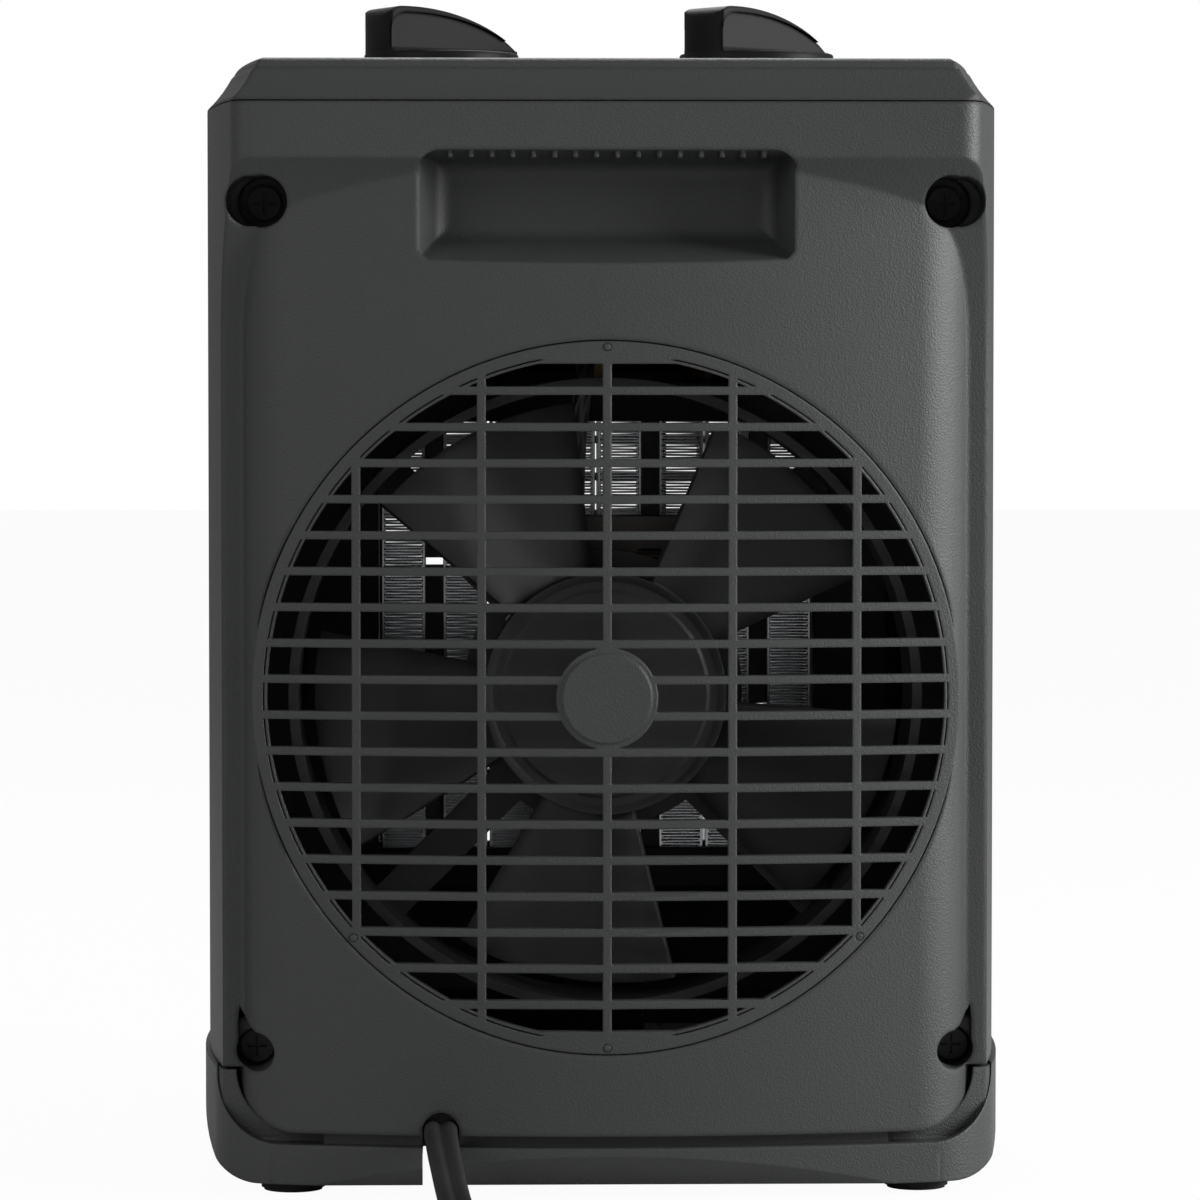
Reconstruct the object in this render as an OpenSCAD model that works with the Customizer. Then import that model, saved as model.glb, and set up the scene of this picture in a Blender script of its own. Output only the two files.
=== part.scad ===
// Personal fan heater: moulded case on a base, intake grille at the back, fan, ceramic element and two knobs.
// Millimetres. X is the width, the outlet faces -Y, the intake faces +Y, and Z = 0 is the table.

/* [Case] */
// Width across the case walls at mid depth
case_w = 178; // [170:1:178]
// Width of the base at mid depth
base_w = 180; // [176:1:188]
// Depth of the base, front to back
base_d = 150; // [146:1:160]
// How far the case stays inside the base's depth at each end
case_inset = 0.5; // [0.3:0.1:2]
// Height of the case walls' top edge above the table
wall_top = 237.2; // [234:0.2:246]
// Thickness of the moulded walls
wall_t = 2.5; // [2:0.1:3]
// Radius of the side walls' bow, seen from above
side_bow_r = 320; // [300:5:420]
// Radius of the back's bow, seen from above
back_bow_r = 306; // [290:2:420]
// Radius of the front's bow, seen from above
front_bow_r = 420; // [340:5:600]
// Radius of the back's upright edges
back_edge_r = 16; // [12:0.5:19]
// Radius of the upright edges behind the side walls
block_edge_r = 5; // [4:0.5:8]
// Depth of the flat shoulders beside the bowed back
shoulder_y = 58; // [56:0.5:60]
// Height where the shoulders begin to flare out to the back
flare_z = 185; // [180:1:190]
// Radius of the flare
flare_r = 57; // [52:1:60]
// Radius of the front's upright edges
front_edge_r = 12; // [9:0.5:16]
// Depth position where the front and rear shells meet
split_y = 33; // [32:0.5:35]
// Gap along the seams between the case pieces
seam_gap = 0.3; // [0.2:0.05:0.5]
// Radius of the case's lower corners, seen from behind
skirt_r = 13; // [11:0.5:15]
// Width of the case's narrow lower part
skirt_w = 161; // [158:1:163]
// Gap between the case's lower edge and the base's floor
skirt_gap = 2.6; // [2:0.1:3.5]

/* [Base] */
// Height of the base's rim and floor
rim_z = 11.3; // [10.5:0.1:12.5]
// Height of the base's side cheeks
cheek_z = 27; // [25:0.5:29]
// Thickness of the base's floor
floor_t = 2.4; // [2:0.1:3]
// Thickness of the base's outer wall
rim_t = 3; // [2.5:0.1:3.5]
// Rounding of the base's lower side edges
base_side_r = 14; // [11:0.5:16]
// Height of the turned-under lower edge at the front and back
under_h = 6.9; // [5:0.1:8]
// How far that edge turns under
under_in = 6.5; // [4:0.1:7]
// Depth of the groove's floor behind the case's surface
groove_depth = 5.5; // [5:0.1:7]
// Radius of the base's upright corners
base_corner_r = 18; // [14:0.5:22]
// Width of the groove between the case's lower part and the cheeks
groove_w = 4.6; // [4:0.1:5.5]
// Height of the lip that locates the case on the base
lip_h = 7; // [5:0.5:9]
// Half width of the locating lip
lip_x = 61.5; // [58:0.5:62]
// Thickness of the locating lip
lip_t = 2; // [1.6:0.1:2.5]

/* [Feet] */
// Radius of a rubber foot
foot_r = 7; // [6:0.5:8]
// Plastic round a foot's seat
foot_pad = 0.3; // [0.2:0.1:1]
// Height of the base above the table
foot_h = 2.6; // [2:0.1:3.5]
// Distance of the feet from the middle, across
foot_x = 68.5; // [62:0.5:68.5]
// Distance of the feet from the middle, front to back
foot_y = 55; // [53:1:57]
// Radius of a foot's peg
foot_peg_r = 2.9; // [2.4:0.1:3.4]
// Height of a foot's peg
foot_peg_h = 4.5; // [3.5:0.5:5]

/* [Handle recess] */
// Width of the finger recess
recess_w = 82.5; // [74:0.5:90]
// Height of the finger recess
recess_h = 24.3; // [21:0.1:26]
// Height of the recess's middle above the table
recess_z = 214.7; // [213:0.1:216]
// Depth of the recess
recess_depth = 18; // [14:0.5:20]
// Corner radius of the recess
recess_r = 5.5; // [4:0.5:7]
// How far the recess's sides draw in at its floor
recess_in_side = 4.6; // [3:0.1:6]
// How far its ceiling draws in at the floor
recess_in_top = 2.2; // [1:0.1:3]
// How far its sill draws in at the floor
recess_in_low = 6; // [3:0.1:7]
// Radius between the recess's floor and its sides
recess_floor_r = 4; // [2:0.5:5]
// Wall round the recess
recess_wall = 2.2; // [1.8:0.1:2.6]
// Number of grip ribs on the recess's ceiling
rib_count = 16; // [10:1:18]
// Spacing of the grip ribs
rib_pitch = 4.5; // [4:0.1:5]
// Width of a grip rib
rib_w = 1; // [0.8:0.1:1.4]
// Length of a grip rib
rib_l = 10; // [6:0.5:12]
// Height of a grip rib at the recess's mouth
rib_drop = 1.6; // [1:0.1:2]

/* [Intake grille] */
// Height of the intake grille's middle
grille_z = 108.8; // [107:0.2:111]
// Radius of the grille disc
disc_r = 77; // [76:0.2:78]
// Width of the disc's plain rim
disc_rim = 2.5; // [2:0.1:3.5]
// Plain rim where the open field is cut flat, at the top and bottom
flat_rim = 4; // [3:0.5:6]
// Number of crossbars
bar_count = 18; // [16:1:18]
// Spacing of the crossbars
bar_pitch = 7.8; // [7.6:0.1:8]
// Height of a crossbar
bar_w = 1.8; // [1.5:0.1:2.2]
// Number of upright bars
post_count = 5; // [3:2:5]
// Spacing of the upright bars
post_pitch = 27.1; // [26:0.1:28]
// Width of an upright bar
post_w = 1.9; // [1.6:0.1:2.4]
// Depth of the bars
bar_depth = 3.2; // [2.8:0.1:4]
// Thickness of the disc's rim
disc_t = 2.1; // [1.8:0.1:2.2]
// Radius of the grille's middle plate
hub_plate_r = 11; // [10.5:0.5:13]
// Radius of the raised button on the middle plate
hub_button_r = 9.7; // [8.5:0.1:10.2]
// Radius of a grille pin
pin_r = 0.8; // [0.7:0.05:0.9]
// Distance of the grille pins inside the disc's edge
pin_in = 1.3; // [1.2:0.1:1.5]

/* [Outlet grille] */
// Width of the outlet
outlet_w = 136; // [128:1:140]
// Height of the outlet
outlet_h = 112; // [106:1:114]
// Height of the outlet's middle above the table
outlet_z = 118; // [117:1:119]
// Corner radius of the outlet
outlet_r = 14; // [10:1:20]
// Flange round the outlet grille
outlet_flange = 3; // [2.5:0.1:4]
// Spacing of the outlet's louvres
louvre_pitch = 9; // [8:0.5:11]
// Height of a louvre's edge
louvre_t = 1.9; // [1.6:0.1:2.4]
// Depth of the louvres
louvre_depth = 5; // [4:0.5:7]

/* [Top cover] */
// Height of the top cover's cove
cove_h = 9.4; // [8:0.2:11]
// How far the cove draws in
cove_in = 7.6; // [6:0.2:9]
// Thickness of the top cover
cover_t = 2.6; // [2.2:0.1:3]
// Depth of the cover's skirt inside the walls
cover_skirt = 4; // [3:0.5:5]

/* [Knobs] */
// Distance of each knob from the middle
knob_x = 36; // [32:0.5:40]
// Radius of a knob's round foot
knob_r = 17.6; // [15:0.2:19]
// Height of a knob's round foot
knob_foot_h = 4.4; // [3.5:0.1:5.5]
// Height of a knob from the cover to its top
knob_h = 15; // [12:0.2:17]
// Thickness of a knob's grip
grip_t = 13.4; // [11:0.2:15]
// Depth of the finger scoops in the grip's sides
scoop_t = 1.4; // [1:0.1:2]
// Gap between a knob and the cover
knob_gap = 0.4; // [0.3:0.1:0.8]
// Rest angle of the thermostat knob's grip
thermostat_rest = 28; // [0:1:60]
// Rest angle of the mode knob's grip
mode_rest = 39; // [0:1:60]
// Radius of a control shaft
shaft_r = 3; // [2.5:0.1:3.2]
// Depth of the flat on a control shaft
shaft_flat = 0.9; // [0.6:0.1:1.2]
// Clearance of a shaft in its knob
shaft_fit = 0.1; // [0.08:0.01:0.15]

/* [Fan] */
// Radius of the fan
fan_r = 64; // [58:1:65]
// Number of fan blades
blade_count = 5; // [4:1:7]
// Blade thickness
blade_t = 1.6; // [1.3:0.1:2]
// Angle that a blade covers, seen along the shaft
blade_span = 47; // [40:1:60]
// Angle of the first blade below the horizontal, at rest
blade_rest = 10; // [0:1:72]
// Pitch of a blade
blade_pitch = 24; // [18:1:26]
// Radius of the fan's hub
fan_hub_r = 26.5; // [22:0.5:30]
// Depth of the fan's hub
fan_hub_h = 16; // [13:0.5:18]
// Depth position of the fan's middle
fan_y = 50; // [49:0.5:52]
// Clearance between the blades and the duct
fan_gap = 3; // [2.5:0.5:4]
// Radius of the motor shaft
motor_shaft_r = 2; // [1.6:0.1:2.4]
// Radial clearance of the shaft in its bushes
bush_fit = 0.05; // [0.03:0.01:0.08]

/* [Motor] */
// Width of the motor's stator stack
stator_w = 50; // [46:1:54]
// Height of the stator stack
stator_h = 58; // [54:1:62]
// Depth of the stator stack
stator_t = 15; // [12:0.5:17]
// Radius of the rotor
rotor_r = 12; // [10:0.5:13]
// Air gap round the rotor
air_gap = 0.5; // [0.4:0.1:0.8]
// Thickness of the bearing brackets
bracket_t = 2.5; // [2:0.1:3]

/* [Heating element] */
// Number of heater bars, each two fin columns with stones between them
pair_count = 4; // [3:1:4]
// Gap between the heater bars
pair_gap = 0.6; // [0.5:0.1:1]
// Width of a fin column
column_w = 10.3; // [9:0.1:10.6]
// Thickness of the stones between a pair's columns
stone_t = 4.1; // [3:0.1:4.4]
// Number of stones in a row
stone_count = 3; // [2:1:5]
// Height of the fin columns
column_h = 104; // [98:1:110]
// Depth of the element
element_t = 16; // [12:1:18]
// Spacing of the fins in a column
fold_pitch = 4; // [3.5:0.5:6]
// Thickness of the fin sheet
fold_t = 0.5; // [0.4:0.1:0.7]
// Width of the element's frame beside the columns
frame_side = 17.4; // [16:0.2:18]
// Height of the element's frame above and below the columns
frame_end = 7; // [6:0.5:8]
// Slit between the outer columns and the frame
frame_slit = 0.8; // [0.5:0.1:1.5]
// Depth position of the element's middle
element_y = -34; // [-36:1:-32]

/* [Tip-over switch] */
// Radius of the tip-over plunger
plunger_r = 5; // [4:0.2:5.5]
// Travel of the tip-over plunger
plunger_travel = 4; // [3:0.5:4.5]
// Clearance round the plunger
plunger_gap = 0.4; // [0.3:0.05:0.6]
// Distance of the plunger from the middle
plunger_x = -20; // [-26:1:-14]

/* [Screws] */
// Radius of a case screw's shank
screw_r = 1.8; // [1.5:0.1:2]
// Radius of a case screw's head
screw_head_r = 3.6; // [3.2:0.1:4]
// Clearance of a screw in its hole
screw_gap = 0.15; // [0.1:0.05:0.3]
// Radius of the screw pockets in the back
pocket_r = 5.6; // [5:0.1:6]
// Radius of the lower screw pockets
low_pocket_r = 4.3; // [4:0.1:5]
// How far the upper pockets are drawn out towards the sides
pocket_draw = 2.4; // [1:0.1:3]
// Distance of the upper screws from the case's sides
pocket_in = 14.5; // [13:0.5:16]
// Height of the upper screws
pocket_z = 216; // [214:0.5:218]
// Height of the lower screws
low_pocket_z = 31; // [30:0.5:33]
// Depth of the screw seats behind the back's plane
seat_depth = 26; // [22:0.5:28]

/* [Cord] */
// Width of the flat two-core cord
cord_w = 7.2; // [6:0.1:8]
// Thickness of the flat two-core cord
cord_t = 3.7; // [3.2:0.1:4]
// Distance of the cord's notch from the middle
notch_x = 36; // [30:1:42]
// Width of the cord's notch
notch_w = 8; // [7.6:0.1:9]
// Height of the notch's round top
notch_top = 18.9; // [18:0.1:20]
// Width of the plug
plug_w = 24; // [22:0.5:26]
// Height of the plug
plug_h = 13; // [12:0.5:15]
// Length of the plug's body
plug_l = 28; // [25:1:32]

/* [Hidden] */
$fn = 96;
BIG = 360;

// Ends of the case, measured from the middle
back_y = base_d / 2 - case_inset;
front_y = -back_y;
ledge_z = cheek_z + seam_gap;
skirt_z = rim_z + skirt_gap;
cover_z = wall_top + seam_gap;
cover_top = cover_z + cove_h;
knob_z = cover_top + knob_gap;
window_w = skirt_w + 2 * groove_w;
duct_r = fan_r + fan_gap;
pin_at_r = disc_r - pin_in;
field_r = disc_r - disc_rim;
field_flat = disc_r - flat_rim;
low_pocket_x = skirt_w / 2 - 4;
pocket_x = case_w / 2 - pocket_in;
grille_rise = case_inset - 0.1;
screw_seat_y = back_y - seat_depth;
boss_r = pocket_r + 1.8;
post_r = 4.5;
rear_clear = split_y + seam_gap;

// 2D: the middle of a rounded corner between a bowed side and an end, flat where end_r is 0
function corner_at(w, y_end, side_r, end_r, r) =
  end_r == 0
    ? [w / 2 - side_r + sqrt(pow(side_r - r, 2) - pow(y_end - r, 2)), y_end - r]
    : let (p = [w / 2 - side_r, 0], q = [0, y_end - end_r], d = norm(q - p), u = (q - p) / d,
       a = (pow(side_r - r, 2) - pow(end_r - r, 2) + d * d) / (2 * d),
       h = sqrt(pow(side_r - r, 2) - a * a))
     p + a * u + h * [-u[1], u[0]];

// 2D: the half of a plan with bowed sides that lies at Y above 0
module bowed_half(w, y_end, side_r, end_r, r, fn = BIG) {
  c = corner_at(w, y_end, side_r, end_r, r);
  x_meet = end_r == 0 ? c[0] : c[0] * end_r / (end_r - r);
  y_meet = c[1] * side_r / (side_r - r);
  intersection() {
    translate([w / 2 - side_r, 0]) circle(side_r, $fn = fn);
    translate([side_r - w / 2, 0]) circle(side_r, $fn = fn);
    translate([-w, 0]) square([2 * w, y_meet]);
  }
  intersection() {
    translate([-x_meet, 0]) square([2 * x_meet, end_r > 0 ? y_end + 1 : y_end]);
    if (end_r > 0)
      translate([0, y_end - end_r]) circle(end_r, $fn = fn);
  }
  for (s = [-1, 1])
    translate([s * c[0], c[1]]) circle(r, $fn = min(fn, 96));
}

// 2D: the base or the case seen from above, drawn in by inset
module case_plan(kind, inset, fn = BIG) {
  w = (kind == "base" ? base_w : case_w) - 2 * inset;
  y_end = (kind == "base" ? base_d / 2 : back_y) - inset;
  side_r = side_bow_r - inset;
  back_r = back_bow_r - inset;
  back_corner = kind == "base" ? base_corner_r : back_edge_r;
  front_corner = kind == "base" ? base_corner_r : front_edge_r;
  bowed_half(w, y_end, side_r, back_r, max(back_corner - inset, 2), fn);
  mirror([0, 1]) bowed_half(w, y_end, side_r, front_bow_r - inset, max(front_corner - inset, 2), fn);
}

// 2D: a rectangle with round corners, about its middle
module round_rect(w, h, r) {
  square([w - 2 * r, h], center = true);
  square([w, h - 2 * r], center = true);
  for (sx = [-1, 1], sy = [-1, 1])
    translate([sx * (w / 2 - r), sy * (h / 2 - r)]) circle(r);
}

// 2D: a rectangle from low to high with its two lower corners round
module round_foot(w, low, high, r) {
  translate([-w / 2, low + r]) square([w, high - low - r]);
  translate([-w / 2 + r, low]) square([w - 2 * r, r + 1]);
  for (s = [-1, 1])
    translate([s * (w / 2 - r), low + r]) circle(r);
}

// A 2D shape in X and Z, carried from y0 to y1
module along_y(y0, y1) {
  rotate([90, 0, 0]) translate([0, 0, -y1]) linear_extrude(y1 - y0) children();
}

// A 2D shape in Y and Z, carried from x0 to x1
module along_x(x0, x1) {
  rotate([90, 0, 90]) translate([0, 0, x0]) linear_extrude(x1 - x0) children();
}

// A 2D shape in X and Y, carried from z0 to z1
module along_z(z0, z1) {
  translate([0, 0, z0]) linear_extrude(z1 - z0) children();
}

// A round rod along Y from y0 to y1
module rod_y(x, z, r, y0, y1) {
  translate([x, y1, z]) rotate([90, 0, 0]) cylinder(r = r, h = y1 - y0);
}

// A box given by its low and high corners
module block(low, high) {
  translate(low) cube(high - low);
}

// The space in front of the seam, or behind it
module front_of_seam() {
  block([-base_w, -base_d, 0], [base_w, split_y, 2 * wall_top]);
}
module behind_seam() {
  block([-base_w, rear_clear, 0], [base_w, base_d, 2 * wall_top]);
}

// 2D: the case seen from behind, drawn in by inset
module case_face(inset) {
  top = wall_top + (inset > 0 ? 10 : 0);
  low = ledge_z + inset;
  translate([-case_w / 2 - 1 + inset, low]) square([case_w + 2 - 2 * inset, top - low]);
  round_foot(skirt_w - 2 * inset, skirt_z + inset, ledge_z + skirt_r + inset, skirt_r - inset);
}

// Section of the recess: a floor with sides that draw in by high_in and low_in, and round inner edges
function well(high_in, low_in, half) =
  let (low = well_side(low_in, half))
  concat(well_side(high_in, half), [for (i = [len(low) - 1 : -1 : 0]) [-low[i][0], low[i][1]]]);
function well_side(draw, half) =
  let (lean = atan(draw / recess_depth), floor_y = back_y - recess_depth, edge = half - draw,
     r = recess_floor_r, c = [edge - r * (1 - sin(lean)) / cos(lean), floor_y + r])
  concat([for (i = [0 : 8]) let (a = -90 + (90 - lean) * i / 8) c + r * [cos(a), sin(a)]],
     [[edge + (base_d - floor_y) * tan(lean), base_d]]);

// 2D: the bowed back between the shoulders, seen from above, drawn in by inset
module dome_plan(inset) {
  back_r = back_bow_r - inset;
  r = back_edge_r - inset;
  half = skirt_w / 2 - inset;
  c = [half - r, back_y - back_bow_r + sqrt(pow(back_r - r, 2) - pow(half - r, 2))];
  x_meet = c[0] * back_r / (back_r - r);
  intersection() {
    translate([0, back_y - back_bow_r]) circle(back_r, $fn = BIG);
    translate([-x_meet, 0]) square([2 * x_meet, base_d]);
  }
  for (s = [-1, 1])
    translate([s * c[0], c[1]]) circle(r);
  translate([-half, 0]) square([2 * half, c[1]]);
}

// The rear shell's full shape: a bowed back between shoulders that flare out to a flat block at the top
module rear_form(inset) {
  top = wall_top + (inset > 0 ? 5 : 0);
  intersection() {
    along_z(skirt_z, top) dome_plan(inset);
    along_y(0, base_d) case_face(inset);
  }
  intersection() {
    along_z(ledge_z + inset, top)
      bowed_half(case_w - 2 * inset, back_y - inset, side_bow_r - inset, 0, block_edge_r - min(inset, 3));
    along_x(-base_w, base_w) {
      difference() {
        square([back_y - inset, top]);
        translate([shoulder_y + flare_r, flare_z]) circle(flare_r + inset, $fn = BIG);
        translate([shoulder_y - inset, 0]) square([base_d, flare_z]);
      }
    }
  }
}

// A shallow sheet that follows the back's bow, from depth d0 to depth d1 below the surface
module back_sheet(d0, d1, z0, z1) {
  along_z(z0, z1) intersection() {
    difference() {
      translate([0, back_y - back_bow_r]) circle(back_bow_r - d0, $fn = BIG);
      translate([0, back_y - back_bow_r]) circle(back_bow_r - d1, $fn = BIG);
    }
    translate([-base_w / 2, 0]) square([base_w, base_d]);
  }
}

// The same at the front
module front_sheet(d0, d1, z0, z1) {
  mirror([0, 1, 0]) along_z(z0, z1) intersection() {
    difference() {
      translate([0, back_y - front_bow_r]) circle(front_bow_r - d0, $fn = BIG);
      translate([0, back_y - front_bow_r]) circle(front_bow_r - d1, $fn = BIG);
    }
    translate([-base_w / 2, 0]) square([base_w, base_d]);
  }
}

// 2D: the outlet's outline, grown by g
module outlet_face(g) {
  translate([0, outlet_z]) round_rect(outlet_w + 2 * g, outlet_h + 2 * g, outlet_r + g);
}

// The cord's U notch at the back, from y0 outwards
module cord_notch(y0) {
  along_y(y0, base_d) {
    translate([notch_x, notch_top - notch_w / 2]) circle(notch_w / 2);
    translate([notch_x - notch_w / 2, -1]) square([notch_w, notch_top - notch_w / 2 + 1]);
  }
}

// Upright bosses that take the base screws
boss_y = 42.5;
boss_x = skirt_w / 2 - 13.5;
base_boss_r = 3.8;
base_boss_h = 18;
module base_boss(y) {
  for (s = [-1, 1]) {
    translate([s * boss_x, y, skirt_z]) cylinder(r = base_boss_r, h = base_boss_h);
    block([min(s * boss_x, s * (skirt_w / 2 - 1)), y - 1, skirt_z + 1],
       [max(s * boss_x, s * (skirt_w / 2 - 1)), y + 1, skirt_z + base_boss_h - 2]);
  }
}
module base_boss_bore(y) {
  for (s = [-1, 1])
    translate([s * boss_x, y, skirt_z - 1]) cylinder(r = screw_r + screw_gap, h = base_boss_h - 1);
}

screw_places = [[pocket_x, pocket_z], [-pocket_x, pocket_z], [low_pocket_x, low_pocket_z],
        [-low_pocket_x, low_pocket_z]];

// Base: an open-bottomed plinth with a floor, side cheeks, and a lip that locates the case
module base() {
  cavity_r = base_side_r - rim_t;
  color([0.2, 0.2, 0.21]) difference() {
    union() {
      difference() {
        intersection() {
          along_z(foot_h, cheek_z) case_plan("base", 0);
          along_y(-base_d, base_d) round_foot(base_w, foot_h, cheek_z, base_side_r);
          along_x(-base_w, base_w) under_section();
        }
        along_y(-base_d, base_d)
          round_foot(window_w, rim_z, cheek_z + base_side_r + 1, base_side_r);
        along_z(rim_z, cheek_z + 1) case_plan("base", rim_t);
        // Hollow underside: wide under the floor, and open below within the rim
        intersection() {
          along_z(foot_h + rim_t + 0.2, rim_z - floor_t) case_plan("base", rim_t);
          along_y(under_in + 1.5 - base_d / 2, base_d / 2 - under_in - 1.5)
            round_foot(base_w - 2 * rim_t, foot_h + rim_t, rim_z + 9, cavity_r);
        }
        block([-base_w / 2 + base_side_r + 3, -base_d / 2 + 9, 0],
           [base_w / 2 - base_side_r - 3, base_d / 2 - 9, rim_z - floor_t]);
      }
      groove_floor();
      // Locating lip
      along_z(rim_z - 1, rim_z + lip_h) difference() {
        lip_plan(0);
        lip_plan(lip_t);
      }
      for (sx = [-1, 1], sy = [-1, 1]) {
        translate([sx * foot_x, sy * foot_y, foot_h])
          cylinder(r = foot_r + foot_pad, h = rim_z - foot_h - 0.5);
        // Stand-offs under the case's screw bosses
        translate([sx * boss_x, sy * boss_y, rim_z - 1])
          cylinder(r = base_boss_r, h = skirt_gap + 1 - seam_gap / 3);
      }
      // Guide tube of the tip-over plunger
      translate([plunger_x, 0, foot_h + 0.4]) cylinder(r = plunger_r + 2.4, h = rim_z - foot_h - 0.4);
      // Saddle that grips the strain relief
      block([notch_x - 10, relief_y - 3, rim_z - 1], [notch_x + 10, relief_y + 3, relief_top]);
      // Seat of the terminal block
      block([terminal_x - 10, terminal_y - 6, rim_z - 1], [terminal_x + 10, terminal_y + 6, terminal_z]);
    }
    for (sx = [-1, 1], sy = [-1, 1]) {
      translate([sx * foot_x, sy * foot_y, foot_h - 1])
        cylinder(r = foot_peg_r + 0.1, h = foot_peg_h + 1.2);
      translate([sx * boss_x, sy * boss_y, 0]) cylinder(r = screw_r + screw_gap, h = cheek_z);
    }
    translate([plunger_x, 0, 0]) cylinder(r = plunger_r + plunger_gap, h = cheek_z);
    cord_notch(relief_y + 3.2);
    // Room for the relief's flange and neck in the groove's floor
    block([notch_x - relief_w / 2 - 2.1, relief_y + 3.3, relief_low - 0.1],
       [notch_x + relief_w / 2 + 2.1, relief_y + 15, relief_top + 1.2]);
    block([notch_x - relief_w / 2 - 0.1, relief_y - 3.5, relief_low],
       [notch_x + relief_w / 2 + 0.1, relief_y + 3.5, relief_top + 1]);
  }
}

// 2D: the base in section, front to back, with its lower edges turned under
module under_section() {
  y = base_d / 2;
  top = cheek_z;
  polygon([[-y, top], [-y, foot_h + under_h], [under_in - y, foot_h], [y - under_in, foot_h],
      [y, foot_h + under_h], [y, top]]);
}

// Floor of the groove round the case's lower part, behind its surface
module groove_floor() {
  intersection() {
    union() {
      back_sheet(groove_depth, groove_depth + 16, rim_z - 1, cheek_z - 0.4);
      front_sheet(groove_depth, groove_depth + 16, rim_z - 1, cheek_z - 0.4);
    }
    along_z(foot_h, cheek_z) case_plan("base", 0.3);
    along_y(-base_d, base_d) difference() {
      round_foot(window_w + 1, rim_z - 1, cheek_z, base_side_r);
      round_foot(skirt_w + 2 * seam_gap, skirt_z - seam_gap, cheek_z + skirt_r + 1, skirt_r + seam_gap);
    }
  }
}

// 2D: the lip's plan, drawn in by inset
module lip_plan(inset) {
  intersection() {
    case_plan("dome", wall_t + seam_gap + inset);
    square([2 * (lip_x - inset), 2 * base_d], center = true);
  }
}

// Rubber feet: a disc with a peg that presses into the base
module rubber_feet() {
  color([0.09, 0.09, 0.09])
    for (sx = [-1, 1], sy = [-1, 1])
      translate([sx * foot_x, sy * foot_y, 0]) {
        cylinder(r = foot_r - 0.6, h = 0.6);
        translate([0, 0, 0.6]) cylinder(r = foot_r, h = foot_h - 0.6);
        translate([0, 0, 1]) cylinder(r = foot_peg_r, h = foot_h + foot_peg_h - 1);
      }
}

// Front shell: side walls, bowed front with the outlet opening, and the posts that carry what is inside
post_x = case_w / 2 - 13;
duct_post_z = [grille_z - 60, grille_z + 60];
element_z = grille_z + 9;
pair_w = 2 * column_w + stone_t;
fins_w = pair_count * pair_w + (pair_count - 1) * pair_gap;
frame_w = fins_w + 2 * frame_side;
frame_h = column_h + 2 * frame_end;
element_post_x = frame_w / 2 + 4.5;
element_post_z = [element_z - 40, element_z + 40];
element_back = element_y + element_t / 2 + 3;
lug_t = 3;
duct_y = split_y + 1;
module front_shell() {
  color([0.24, 0.24, 0.25]) difference() {
    union() {
      difference() {
        intersection() {
          along_z(skirt_z, wall_top) case_plan("dome", 0);
          along_y(-base_d, base_d) case_face(0);
          front_of_seam();
        }
        intersection() {
          along_z(skirt_z, wall_top + 5) case_plan("dome", wall_t);
          along_y(-base_d, base_d) case_face(wall_t);
        }
        intersection() {
          block([-lip_x - seam_gap, -base_d, 0], [lip_x + seam_gap, base_d, ledge_z]);
          along_z(0, ledge_z) case_plan("dome", wall_t);
        }
      }
      intersection() {
        along_z(skirt_z, wall_top) case_plan("dome", 0.5);
        along_y(-base_d, base_d) case_face(0.5);
        union() {
          // Screw bosses on the side walls
          for (p = screw_places) {
            rod_y(p[0], p[1], post_r, split_y - 26, split_y);
            block([min(p[0], sign(p[0]) * case_w / 2), split_y - 26, p[1] - 1],
               [max(p[0], sign(p[0]) * case_w / 2), split_y, p[1] + 1]);
          }
          // Long posts for the duct and short ones for the element, tied to the side walls
          for (s = [-1, 1], z = duct_post_z) {
            rod_y(s * post_x, z, post_r, split_y - 20, duct_y);
            block([min(s * post_x, s * case_w / 2), split_y - 20, z - 1],
               [max(s * post_x, s * case_w / 2), split_y, z + 1]);
          }
          for (s = [-1, 1], z = element_post_z)
            rod_y(s * element_post_x, z, post_r - 0.5, front_y + 1, element_back - lug_t);
          base_boss(-boss_y);
          // Ledge that the outlet grille lies against
          intersection() {
            front_sheet(disc_t + seam_gap, disc_t + seam_gap + 2, 0, wall_top);
            along_y(-base_d, 0) difference() {
              outlet_face(outlet_flange + 3);
              outlet_face(0);
            }
          }
        }
      }
    }
    intersection() {
      front_sheet(-5, disc_t + seam_gap, 0, wall_top);
      along_y(-base_d, 0) outlet_face(outlet_flange + seam_gap);
    }
    along_y(-base_d, front_y + 14) outlet_face(0);
    base_boss_bore(-boss_y);
    for (p = screw_places)
      rod_y(p[0], p[1], screw_r + screw_gap, split_y - 18, split_y + 1);
    for (s = [-1, 1], z = duct_post_z)
      rod_y(s * post_x, z, screw_r + screw_gap, duct_y - 12, duct_y + 1);
    for (s = [-1, 1], z = element_post_z)
      rod_y(s * element_post_x, z, screw_r + screw_gap, element_back - 14, element_back);
  }
}

// Corners of a lower pocket's tail, from the screw's axis
pocket_tail = [[-3, 2], [1.2, 5.4], [3, 8.6], [3.6, 9.8], [3.9, 6.4], [3.9, 0]];

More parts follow.
